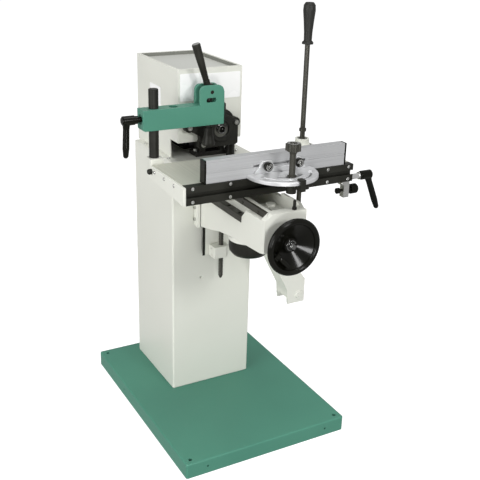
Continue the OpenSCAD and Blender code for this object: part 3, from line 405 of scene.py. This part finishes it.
# %% Finish table
finishes = {
    cream_enamel: ["column", "deck_plate", "motor_cover", "knee", "lever_bracket", "screw_nut", "end_plate",
        "post_bracket", "lever_block", "lever_yoke"],
    green_enamel: ["base_pan", "clamp_arm"],
    upright_oxide: ["vertical_way", "clamp_post", "plunger", "stop_screw"],
    way_oxide: ["control_lever", "elevation_screw", "star_knob", "left_way_bar", "right_way_bar",
        "bar_screws", "way_screws"],
    black_oxide: ["gear_cover", "front_rail", "cam_lever", "mitre_base", "bumper_knob"],
    turned_steel: ["spindle_bearing", "casting_bolts", "cover_screws", "spindle_shaft", "gib_screws",
        "bracket_bolts", "wheel_shaft", "bevel_gear", "table_screws", "knee_gib", "stop_bracket"],
    ground_iron: ["table_top", "saddle"],
    brushed_alloy: ["fence"],
    cast_alloy: ["mitre_disc", "fence_bracket"],
    cast_black: ["spindle_casting", "motor", "switch_box"],
    moulded_black: ["handwheel", "crank_handle", "fence_caps", "fence_knobs", "rail_lever", "arm_lever",
        "stop_knob"],
    rubber_black: ["lever_grip"],
    dark_chrome: ["wheel_nut", "chuck"],
    go_plastic: ["start_button"],
    halt_plastic: ["stop_button"],
}
finish_of = {part: material for material, parts in finishes.items() for part in parts}
for part, node_object in nodes.items():
    node_object.data.materials.clear()
    node_object.data.materials.append(finish_of[part])
print("finished parts:", len(finish_of), "of", len(nodes))

# %% [markdown]
# ## Softened edges
# No real edge is a perfect corner: sheet metal bends round a radius, castings and mouldings are rounded,
# and machined edges are broken with a file. A thin rounded edge catches a line of light, which is most of
# what makes a machine look solid. A Bevel modifier would do it on clean quads, but CAD meshes are loose
# triangles with long thin slivers, where it throws spikes. So the rounding is done by hand on a merged
# copy. First the faces are sorted into smooth regions with sharp edges between them.

# %% Regions between sharp edges
sharp_angle = math.radians(35)


def is_sharp(edge):
    return len(edge.link_faces) == 2 and edge.calc_face_angle() > sharp_angle


def smooth_regions(shell):
    seen = set()
    regions = []
    for seed in shell.faces[:]:
        region = [] if seed in seen else [seed]
        seen.add(seed)
        for face in region:
            for edge in face.edges:
                if len(edge.link_faces) == 2 and not is_sharp(edge):
                    fresh = [other for other in edge.link_faces if other not in seen]
                    region += fresh
                    seen.update(fresh)
        if region:
            regions.append(region)
    return regions


print("edges sharper than", round(math.degrees(sharp_angle)), "degrees are rounded")

# %% [markdown]
# Each region is then inset by a small margin. Points on the old outline are known by their place, rounded
# to a tenth of a micron, because the inset makes new ones beside them. A region that is too narrow for
# its margin folds over, which shows as a face that has turned or a point that has shot away. It is put
# back as it was. Slivers without an area have no normal, so they can't show a turn and aren't asked.

# %% Inset one region, or put it back
keys_per_metre = 1e7
least_agreement = 0.7
least_normal = 0.5
longest_inset = 2.5


def place_key(point):
    return tuple(round(value * keys_per_metre) for value in point)


def outline_pairs(strip, corner_keys):
    pairs = []
    for face in strip:
        for edge in face.edges:
            first, second = edge.verts
            first_outer = place_key(first.co) in corner_keys
            second_outer = place_key(second.co) in corner_keys
            if first_outer != second_outer:
                pairs.append((first, second) if first_outer else (second, first))
    return pairs


def inset_inside(shell, region, width, corner_keys):
    facing = {face: face.normal.copy() for face in region}
    strip = bmesh.ops.inset_region(shell, faces=region, thickness=width, use_even_offset=True)["faces"]
    for face in region + strip:
        face.normal_update()
    pairs = outline_pairs(strip, corner_keys)
    turned_over = any(face.normal.dot(normal) < least_agreement
        for face, normal in facing.items() if normal.length > least_normal)
    shot_away = any((inner.co - outer.co).length > longest_inset * width for outer, inner in pairs)
    if turned_over or shot_away:
        for outer, inner in pairs:
            inner.co = outer.co
    return turned_over or shot_away


print("an inset may be", longest_inset, "times its margin")

# %% [markdown]
# The points on sharp edges are the ones to move. A point on an edge shorter than five widths moves less,
# and a point on an inner corner stays where it is.

# %% Points on sharp edges
least_share = 0.3
full_share_widths = 5.0


def sharp_corners(shell, width, wanted):
    corner_keys = {}
    kept_keys = set()
    for edge in shell.edges:
        if is_sharp(edge) and all(wanted(point.co) for point in edge.verts):
            share = max(least_share, min(1.0, edge.calc_length() / (full_share_widths * width)))
            for point in edge.verts:
                key = place_key(point.co)
                corner_keys[key] = min(share, corner_keys.get(key, 1.0))
                if not edge.is_convex:
                    kept_keys.add(key)
    return corner_keys, kept_keys


print("short edges move at least", least_share, "of the full way")

# %% [markdown]
# Last, these points are pulled in towards the middle of their inset neighbours. A share of 0.59 puts the
# point of a square edge on the arc that touches both faces. Before all this the loose triangles are
# merged into one skin and flat neighbours joined; afterwards points that fell together are merged.

# %% Pull in the outer edges
arc_share = 0.59
merge_reach = 0.000004
closing_reach = 0.000002
flat_angle = math.radians(0.5)


def corner_moves(shell, corner_keys, kept_keys):
    moves = {}
    for point in shell.verts:
        key = place_key(point.co)
        if key in corner_keys and key not in kept_keys:
            inner = [edge.other_vert(point).co for edge in point.link_edges
                if place_key(edge.other_vert(point).co) not in corner_keys]
            if len(inner) > 1:
                middle = sum(inner, Vector()) / len(inner)
                moves[point] = (middle - point.co) * arc_share * corner_keys[key]
    return moves


def rounded_shell(part, width, wanted):
    shell = bmesh.new()
    shell.from_mesh(nodes[part].data)
    bmesh.ops.remove_doubles(shell, verts=shell.verts, dist=merge_reach)
    bmesh.ops.dissolve_limit(shell, angle_limit=flat_angle, verts=shell.verts, edges=shell.edges)
    volume = shell.calc_volume()
    corner_keys, kept_keys = sharp_corners(shell, width, wanted)
    damaged = 0
    for region in smooth_regions(shell):
        outline = {place_key(point.co) for face in region for point in face.verts} & set(corner_keys)
        if outline and inset_inside(shell, region, width, corner_keys):
            kept_keys |= outline
            damaged += 1
    for point, move in corner_moves(shell, corner_keys, kept_keys).items():
        point.co += move
    bmesh.ops.remove_doubles(shell, verts=shell.verts, dist=closing_reach)
    return shell, volume, damaged


print("a square edge moves", arc_share, "of the way in")

# %% [markdown]
# A copy is used only if it is closed and at most a trace fatter than the part it stands for. Weighted
# normals then keep the broad faces flat and let the shading roll over the rounded edges.

# %% Softening helper
most_lost = 0.1
most_gained = 0.0005
shading_angle = math.radians(50)


def evaluated_mesh(holder, name):
    depsgraph = bpy.context.evaluated_depsgraph_get()
    plain = bpy.data.meshes.new_from_object(holder.evaluated_get(depsgraph))
    plain.name = name
    return plain


def goes_with(piece, part):
    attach(piece, body_of_node[part])


def softened(part, width, wanted=lambda place: True):
    shell, volume, damaged = rounded_shell(part, width, wanted)
    open_edges = sum(1 for edge in shell.edges if len(edge.link_faces) != 2)
    change = shell.calc_volume() / volume - 1.0
    mesh = bpy.data.meshes.new(part + "_finished")
    shell.to_mesh(mesh)
    shell.free()
    print(part, "narrow regions", damaged, "open edges", open_edges, "volume", round(100 * change, 2), "%")
    if open_edges or not -most_lost < change < most_gained:
        return None
    mesh.shade_smooth()
    mesh.set_sharp_from_angle(angle=shading_angle)
    piece = add_object(part + "_finished", mesh)
    leveller = piece.modifiers.new("level_faces", "WEIGHTED_NORMAL")
    leveller.keep_sharp = True
    piece.data = evaluated_mesh(piece, part + "_finished")
    piece.modifiers.remove(leveller)
    piece.data.materials.clear()
    piece.data.materials.append(finish_of[part])
    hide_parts(part)
    goes_with(piece, part)
    return piece


print("a softened copy may lose", round(100 * most_lost), "% of its volume")

# %% [markdown]
# The widths below are in millimetres: three for the bent column sheet, up to two for castings, about one
# for mouldings and about half a millimetre for machined edges. The base pan is folded from sheet, so only
# its outer top edge is rounded, by five.

# %% Soften the parts
edge_widths = {
    "column": 3.0, "deck_plate": 0.8, "motor_cover": 0.7, "spindle_casting": 1.6, "motor": 1.2,
    "vertical_way": 0.5, "screw_nut": 2.0, "switch_box": 1.2, "start_button": 0.8, "stop_button": 0.8,
    "chuck": 0.6, "knee": 2.0, "left_way_bar": 0.6, "right_way_bar": 0.6, "gear_cover": 0.6,
    "lever_bracket": 1.6, "handwheel": 1.0, "wheel_nut": 0.8, "crank_handle": 0.8, "saddle": 0.6,
    "table_top": 0.7, "front_rail": 0.6, "end_plate": 0.8, "bumper_knob": 0.6, "post_bracket": 1.2,
    "clamp_post": 0.8, "lever_block": 1.2, "stop_bracket": 0.5, "mitre_base": 0.6, "fence": 0.5,
    "fence_caps": 0.6, "mitre_disc": 0.6, "fence_bracket": 1.0, "fence_knobs": 0.7, "star_knob": 1.0,
    "rail_lever": 0.8, "stop_knob": 0.8, "clamp_arm": 1.4, "arm_lever": 0.8, "cam_lever": 0.8,
    "plunger": 0.5, "lever_yoke": 0.8, "control_lever": 0.5, "lever_grip": 0.8,
}
finished = {part: softened(part, width / 1000) for part, width in edge_widths.items()}


def part_box(part):
    low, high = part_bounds(part)
    return Vector(low), Vector(high)


base_low, base_high = part_box("base_pan")
base_bend = 0.005
bend_reach = 0.0025
top_reach = 0.0001


def on_base_bend(place):
    to_side = min(place.x - base_low.x, base_high.x - place.x, place.y - base_low.y, base_high.y - place.y)
    return place.z > base_high.z - top_reach and to_side < bend_reach


finished["base_pan"] = softened("base_pan", base_bend, on_base_bend)
finished = {part: piece for part, piece in finished.items() if piece}
print("softened:", len(finished), "missing:", sorted(set(edge_widths) - set(finished)),
    "triangles:", sum(len(face.vertices) - 2 for piece in finished.values() for face in piece.data.polygons))

# %% [markdown]
# ## Parts in two finishes
# Some parts are painted on one side and bare on another. The faces of the finished copy are sorted by
# where they are and which way they look, and the chosen ones get a second finish. Where one face wears
# both, a plane cuts it first: the slide on the column is painted between its machined edges.

# %% Painted slide
half_turned = 0.5
nearly_square = 0.9


def second_finish(part, material, wanted):
    mesh = finished[part].data
    mesh.materials.append(material)
    chosen = [face for face in mesh.polygons if wanted(Vector(face.center), Vector(face.normal))]
    for face in chosen:
        face.material_index = len(mesh.materials) - 1
    print(part, material.name, len(chosen), "of", len(mesh.polygons), "faces")


def cut_across(part, place, facing):
    mesh = finished[part].data
    shape = bmesh.new()
    shape.from_mesh(mesh)
    everything = shape.verts[:] + shape.edges[:] + shape.faces[:]
    bmesh.ops.bisect_plane(shape, geom=everything, plane_co=place, plane_no=facing)
    shape.to_mesh(mesh)
    shape.free()


machined_edge = 0.0085
way_low, way_high = part_box("vertical_way")
way_middle = 0.5 * (way_low.x + way_high.x)
painted_half = 0.5 * (way_high.x - way_low.x) - machined_edge
cut_across("vertical_way", (way_middle - painted_half, 0, 0), (1, 0, 0))
cut_across("vertical_way", (way_middle + painted_half, 0, 0), (1, 0, 0))
second_finish("vertical_way", cream_enamel,
    lambda place, facing: abs(place.x - way_middle) < painted_half and facing.y < -half_turned)

# %% [markdown]
# The top of the cover is a sunk panel inside a rim. The panel looks up, and the walls of the rim are the
# upright faces just above it. Both carry painted shade: the panel greyer, the walls dark.

# %% Cover panel
cover_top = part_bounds("motor_cover")[1][2]
panel_depth = 0.011
panel_slack = 0.002
rim_slack = 0.001
panel_height = cover_top - panel_depth
# the panel gets its painted shade
second_finish("motor_cover", painted_shade_panel,
    lambda place, facing: abs(place.z - panel_height) < panel_slack and facing.z > nearly_square)
# the walls of the rim get their darker painted shade
second_finish("motor_cover", painted_shade_rim,
    lambda place, facing: panel_height < place.z < cover_top - rim_slack and abs(facing.z) < half_turned)

# %% [markdown]
# The clamping lever of the rail turns on a bright collar, and each of the fence's knobs has a bright
# screw in its middle. The knobs stand on either side of the middle of the mitre disc.

# %% Collar and knob screws
collar_length = 0.0285
collar_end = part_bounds("front_rail")[1][0] + collar_length
second_finish("rail_lever", bright_plate, lambda place, facing: place.x < collar_end)

knob_low, knob_high = part_box("fence_knobs")
disc_low, disc_high = part_box("mitre_disc")
disc_middle = 0.5 * (disc_low.x + disc_high.x)
knob_asides = (-0.044, 0.048)
knob_middles = [disc_middle + aside for aside in knob_asides]
knob_height = 0.5 * (knob_low.z + knob_high.z)
knob_screw_radius = 0.0038
knob_screw_depth = 0.006


def in_knob_middle(place, facing):
    reach = min(math.hypot(place.x - middle, place.z - knob_height) for middle in knob_middles)
    return reach < knob_screw_radius and place.y < knob_low.y + knob_screw_depth


second_finish("fence_knobs", turned_steel, in_knob_middle)

# %% [markdown]
# The upper end of the cam lever is a bare turned face, square to the leaning lever. The top of the star
# knob is given bright turned steel on its upward faces, a painted highlight for the light on its top.

# %% Turned ends
lever_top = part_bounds("cam_lever")[1][2]
lever_end = 0.02
lever_square = 0.95
lever_lean = math.radians(17.8)
lever_along = Vector((-math.sin(lever_lean), 0.0, math.cos(lever_lean)))
second_finish("cam_lever", turned_steel,
    lambda place, facing: place.z > lever_top - lever_end and facing.dot(lever_along) > lever_square)

star_low, star_high = part_box("star_knob")
star_middle = 0.5 * (star_low + star_high)
star_top_radius = 0.0155
star_top_depth = 0.006


# upward faces at the top of the star knob, which get the painted highlight
def on_star_highlight(place, facing):
    reach = math.hypot(place.x - star_middle.x, place.y - star_middle.y)
    high_enough = place.z > star_high.z - star_top_depth
    return facing.z > nearly_square and high_enough and reach < star_top_radius


second_finish("star_knob", turned_steel, on_star_highlight)

# %% [markdown]
# ## Strips in the fence's slot
# The slot along the fence takes the heads of the two bolts. On both sides of the bracket a slim strip
# closes it, so that the slot shows only as a fine line. A strip is one eight-cornered outline drawn out
# along the slot; its round front corners catch a little light.

# %% Strip outline
fence_low, fence_high = part_box("fence")
bracket_low, bracket_high = part_box("fence_bracket")
slot_middle = 0.5 * (fence_low.z + fence_high.z)
strip_half = 0.0028
strip_sunk = 0.0006
strip_depth = 0.003
strip_round = 0.0004
round_share = 0.3
strip_front = fence_low.y + strip_sunk
strip_back = fence_low.y + strip_depth
round_middle = round_share * strip_round
strip_outline = [
    (strip_front, -strip_half + strip_round),
    (strip_front, strip_half - strip_round),
    (strip_front + round_middle, strip_half - round_middle),
    (strip_front + strip_round, strip_half),
    (strip_back, strip_half),
    (strip_back, -strip_half),
    (strip_front + strip_round, -strip_half),
    (strip_front + round_middle, -strip_half + round_middle),
]
fence_gap = 0.0005
bracket_gap = 0.001
strip_ends = [
    (fence_low.x + fence_gap, bracket_low.x - bracket_gap),
    (bracket_high.x + bracket_gap, fence_high.x - fence_gap),
]
print("strips:", [round(right_end - left_end, 4) for left_end, right_end in strip_ends], "m long")

# %% [markdown]
# The outline is laid down at both ends of each strip. Four-sided faces join the two, a cap closes each
# end, and the normals are turned outwards. A closed skin has a volume, which is printed as a test.

# %% Slot strips
cubic_mm = 1e9
strip_points = []
strip_faces = []
corners = len(strip_outline)
for left_end, right_end in strip_ends:
    first = len(strip_points)
    for end in (left_end, right_end):
        strip_points += [(end, y, slot_middle + z) for y, z in strip_outline]
    for index in range(corners):
        after = (index + 1) % corners
        strip_faces.append((first + index, first + corners + index, first + corners + after, first + after))
    strip_faces.append(tuple(first + index for index in range(corners)))
    strip_faces.append(tuple(first + corners + index for index in reversed(range(corners))))
strip_mesh = bpy.data.meshes.new("slot_strips")
strip_mesh.from_pydata(strip_points, [], strip_faces)
strip_shape = bmesh.new()
strip_shape.from_mesh(strip_mesh)
bmesh.ops.recalc_face_normals(strip_shape, faces=strip_shape.faces)
strip_volume = strip_shape.calc_volume(signed=True)
strip_shape.to_mesh(strip_mesh)
strip_shape.free()
strips = add_object("slot_strips", strip_mesh)
strip_mesh.materials.append(brushed_alloy)
goes_with(strips, "fence")
print("slot strips:", round(strip_volume * cubic_mm), "cubic mm")

# %% [markdown]
# ## Blank plates on the cover
# Three thin plates are stuck to the motor cover, two on its front and one on its left side. They are
# blank. Each starts as an outline with round corners, and a small function lays its points on the front
# or on the side.

# %% Plate outline
foot_flange = 0.019
cover_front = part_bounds("motor_cover")[0][1]
cover_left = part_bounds("motor_cover")[0][0] + foot_flange
plate_corner = 0.003
corner_steps = 5


def on_cover_front(across, height):
    return (across, cover_front, height)


def on_cover_left(across, height):
    return (cover_left, -across, height)


def plate_outline(laid, left, right, low, high):
    quarters = [
        (right - plate_corner, high - plate_corner, 0), (left + plate_corner, high - plate_corner, 90),
        (left + plate_corner, low + plate_corner, 180), (right - plate_corner, low + plate_corner, 270),
    ]
    outline = []
    for centre, height, start in quarters:
        for step in range(corner_steps + 1):
            turn = math.radians(start + 90 * step / corner_steps)
            along_edge = centre + plate_corner * math.cos(turn)
            outline.append(laid(along_edge, height + plate_corner * math.sin(turn)))
    return outline


print("plate corners of", plate_corner, "m in", corner_steps, "steps")

# %% [markdown]
# The outline is filled, thickened by Solidify and rounded by a small Bevel, so that the edge of the plate
# shows as a fine line. Both modifiers are then baked into a plain mesh.

# %% Blank plates
plate_thickness = 0.0006
plate_edge = 0.0002


def blank_plate(name, laid, left, right, low, high):
    outline = plate_outline(laid, left, right, low, high)
    mesh = bpy.data.meshes.new(name)
    mesh.from_pydata(outline, [], [list(range(len(outline)))])
    plate = add_object(name, mesh)
    thickness = plate.modifiers.new("thickness", "SOLIDIFY")
    thickness.thickness = plate_thickness
    thickness.offset = 1.0
    edge = plate.modifiers.new("edge", "BEVEL")
    edge.width = plate_edge
    edge.segments = 2
    plate.data = evaluated_mesh(plate, name)
    plate.modifiers.clear()
    plate.data.materials.clear()
    plate.data.materials.append(plate_film)
    goes_with(plate, "motor_cover")
    return plate


plates = [
    blank_plate("left_blank_plate", on_cover_front, -0.104, -0.034, 0.932, 1.006),
    blank_plate("right_blank_plate", on_cover_front, -0.027, 0.079, 0.932, 1.003),
    blank_plate("side_blank_plate", on_cover_left, -0.218, -0.143, 0.880, 0.9505),
]
print("plates:", [(plate.name, len(plate.data.polygons)) for plate in plates])

# %% [markdown]
# ## Scale on the mitre disc
# The disc has a shallow ring for its angle scale. The marks are all the same small bar, repeated round an
# arc, so Geometry Nodes make them. The inputs of the tree say how many bars there are, where they stand
# and which of them are longer, so that one tree serves more than one part.

# %% Inputs of the tree
ring_tree = bpy.data.node_groups.new("bars_on_arc", "GeometryNodeTree")
ring_inputs = [
    ("Count", "NodeSocketInt", 61), ("Radius", "NodeSocketFloat", 0.07), ("Start", "NodeSocketFloat", 0.0),
    ("Sweep", "NodeSocketFloat", 1.0), ("Bar Size", "NodeSocketVector", (0.004, 0.0004, 0.0002)),
    ("Long Every", "NodeSocketInt", 5), ("Long Scale", "NodeSocketFloat", 1.6),
    ("Finish", "NodeSocketMaterial", None),
]
for label, kind, value in ring_inputs:
    add_input(ring_tree, label, kind, value)
ring_tree.interface.new_socket(name="Geometry", in_out="OUTPUT", socket_type="NodeSocketGeometry")
print("inputs:", [label for label, kind, value in ring_inputs])

# %% [markdown]
# The first half of the tree lays points on an arc: the share of the way along is turned into an angle,
# and the angle into a place.

# %% Points on an arc
def ring_node(kind, **settings):
    node = ring_tree.nodes.new(kind)
    for label, value in settings.items():
        setattr(node, label, value)
    return node


ring_in = ring_node("NodeGroupInput")
ring_out = ring_node("NodeGroupOutput")
points = ring_node("GeometryNodePoints")
order = ring_node("GeometryNodeInputIndex")
last = ring_node("ShaderNodeMath", operation="SUBTRACT")
last.inputs[1].default_value = 1.0
share = ring_node("ShaderNodeMath", operation="DIVIDE")
turned = ring_node("ShaderNodeMath", operation="MULTIPLY_ADD")
across = ring_node("ShaderNodeMath", operation="COSINE")
along = ring_node("ShaderNodeMath", operation="SINE")
spot = ring_node("ShaderNodeCombineXYZ")
scaled_spot = ring_node("ShaderNodeVectorMath", operation="SCALE")
placed = ring_node("GeometryNodeSetPosition")
link_all(ring_tree, [
    (ring_in.outputs["Count"], points.inputs["Count"]),
    (ring_in.outputs["Count"], last.inputs[0]),
    (order.outputs["Index"], share.inputs[0]),
    (last.outputs[0], share.inputs[1]),
    (share.outputs[0], turned.inputs[0]),
    (ring_in.outputs["Sweep"], turned.inputs[1]),
    (ring_in.outputs["Start"], turned.inputs[2]),
    (turned.outputs[0], across.inputs[0]),
    (turned.outputs[0], along.inputs[0]),
    (across.outputs[0], spot.inputs["X"]),
    (along.outputs[0], spot.inputs["Y"]),
    (spot.outputs[0], scaled_spot.inputs[0]),
    (ring_in.outputs["Radius"], scaled_spot.inputs["Scale"]),
    (points.outputs[0], placed.inputs["Geometry"]),
    (scaled_spot.outputs[0], placed.inputs["Position"]),
])
print("points on an arc:", len(ring_tree.nodes), "nodes")

# %% [markdown]
# The second half puts one bar on each point and turns it to the centre. The remainder of a point's number
# picks the bars that are longer. The tree ends in plain geometry with its finish.

# %% Bars on the points
bar = ring_node("GeometryNodeMeshCube")
bar_turn = ring_node("ShaderNodeCombineXYZ")
remainder = ring_node("ShaderNodeMath", operation="MODULO")
is_long = ring_node("ShaderNodeMath", operation="LESS_THAN")
is_long.inputs[1].default_value = 0.5
stretch = ring_node("ShaderNodeMapRange")
set_inputs(stretch, {"To Min": 1.0})
bar_scale = ring_node("ShaderNodeCombineXYZ")
set_inputs(bar_scale, {"Y": 1.0, "Z": 1.0})
carried = ring_node("GeometryNodeInstanceOnPoints")
realized = ring_node("GeometryNodeRealizeInstances")
painted = ring_node("GeometryNodeSetMaterial")
link_all(ring_tree, [
    (ring_in.outputs["Bar Size"], bar.inputs["Size"]),
    (turned.outputs[0], bar_turn.inputs["Z"]),
    (order.outputs["Index"], remainder.inputs[0]),
    (ring_in.outputs["Long Every"], remainder.inputs[1]),
    (remainder.outputs[0], is_long.inputs[0]),
    (is_long.outputs[0], stretch.inputs["Value"]),
    (ring_in.outputs["Long Scale"], stretch.inputs["To Max"]),
    (stretch.outputs["Result"], bar_scale.inputs["X"]),
    (placed.outputs[0], carried.inputs["Points"]),
    (bar.outputs["Mesh"], carried.inputs["Instance"]),
    (bar_turn.outputs[0], carried.inputs["Rotation"]),
    (bar_scale.outputs[0], carried.inputs["Scale"]),
    (carried.outputs[0], realized.inputs[0]),
    (realized.outputs[0], painted.inputs["Geometry"]),
    (ring_in.outputs["Finish"], painted.inputs["Material"]),
    (painted.outputs[0], ring_out.inputs["Geometry"]),
])
print("bars on an arc:", len(ring_tree.nodes), "nodes")

# %% [markdown]
# A modifier's inputs are set by their identifiers, which the tree's interface lists beside the names. The
# result is turned into a plain mesh and moved to its place. The scale of the disc has a mark for each
# degree, and every tenth one is longer.

# %% Scale marks
def fill_inputs(modifier, tree, values):
    for item in tree.interface.items_tree:
        if item.item_type == "SOCKET" and item.in_out == "INPUT" and item.name in values:
            modifier[item.identifier] = values[item.name]


def bars_on_arc(name, part, place, values):
    holder = add_object(name, bpy.data.meshes.new(name))
    bars = holder.modifiers.new("bars", "NODES")
    bars.node_group = ring_tree
    fill_inputs(bars, ring_tree, values)
    mesh = evaluated_mesh(holder, name)
    holder.modifiers.remove(bars)
    mesh.transform(place)
    holder.data = mesh
    goes_with(holder, part)
    print(name, len(mesh.polygons), "faces")


ring_depth = 0.0025
scale_inset = 0.0195
disc_reach = 0.5 * (disc_high.x - disc_low.x)
scale_place = Matrix.Translation((disc_middle, disc_low.y + disc_reach, disc_high.z - ring_depth))
bars_on_arc("mitre_scale", "mitre_disc", scale_place, {
    "Count": 121, "Radius": disc_reach - scale_inset,
    "Start": math.radians(-150), "Sweep": math.radians(120),
    "Bar Size": (0.0045, 0.00035, 0.0003), "Long Every": 10, "Long Scale": 1.7, "Finish": scale_ink,
})

# %% [markdown]
# ## Ribs on the stop knob
# The stop knob is turned by hand, so it has fine ribs. They are the same tree with other values: bars
# that lie along the knob, all round it, and none of them longer.

# %% Knob ribs
knob_radius = 0.013
rib_count = 28
rib_size = (0.0012, 0.0014, 0.018)
rib_from_end = 0.013
stop_low, stop_high = part_box("stop_knob")
stop_middle = 0.5 * (stop_low + stop_high)
rib_place = Matrix.Translation((stop_high.x - rib_from_end, stop_middle.y, stop_middle.z))
bars_on_arc("stop_knob_ribs", "stop_knob", rib_place @ Matrix.Rotation(math.radians(90), 4, "Y"), {
    "Count": rib_count, "Radius": knob_radius,
    "Start": 0.0, "Sweep": 2 * math.pi * (rib_count - 1) / rib_count,
    "Bar Size": rib_size, "Long Every": 100, "Long Scale": 1.0, "Finish": moulded_black,
})
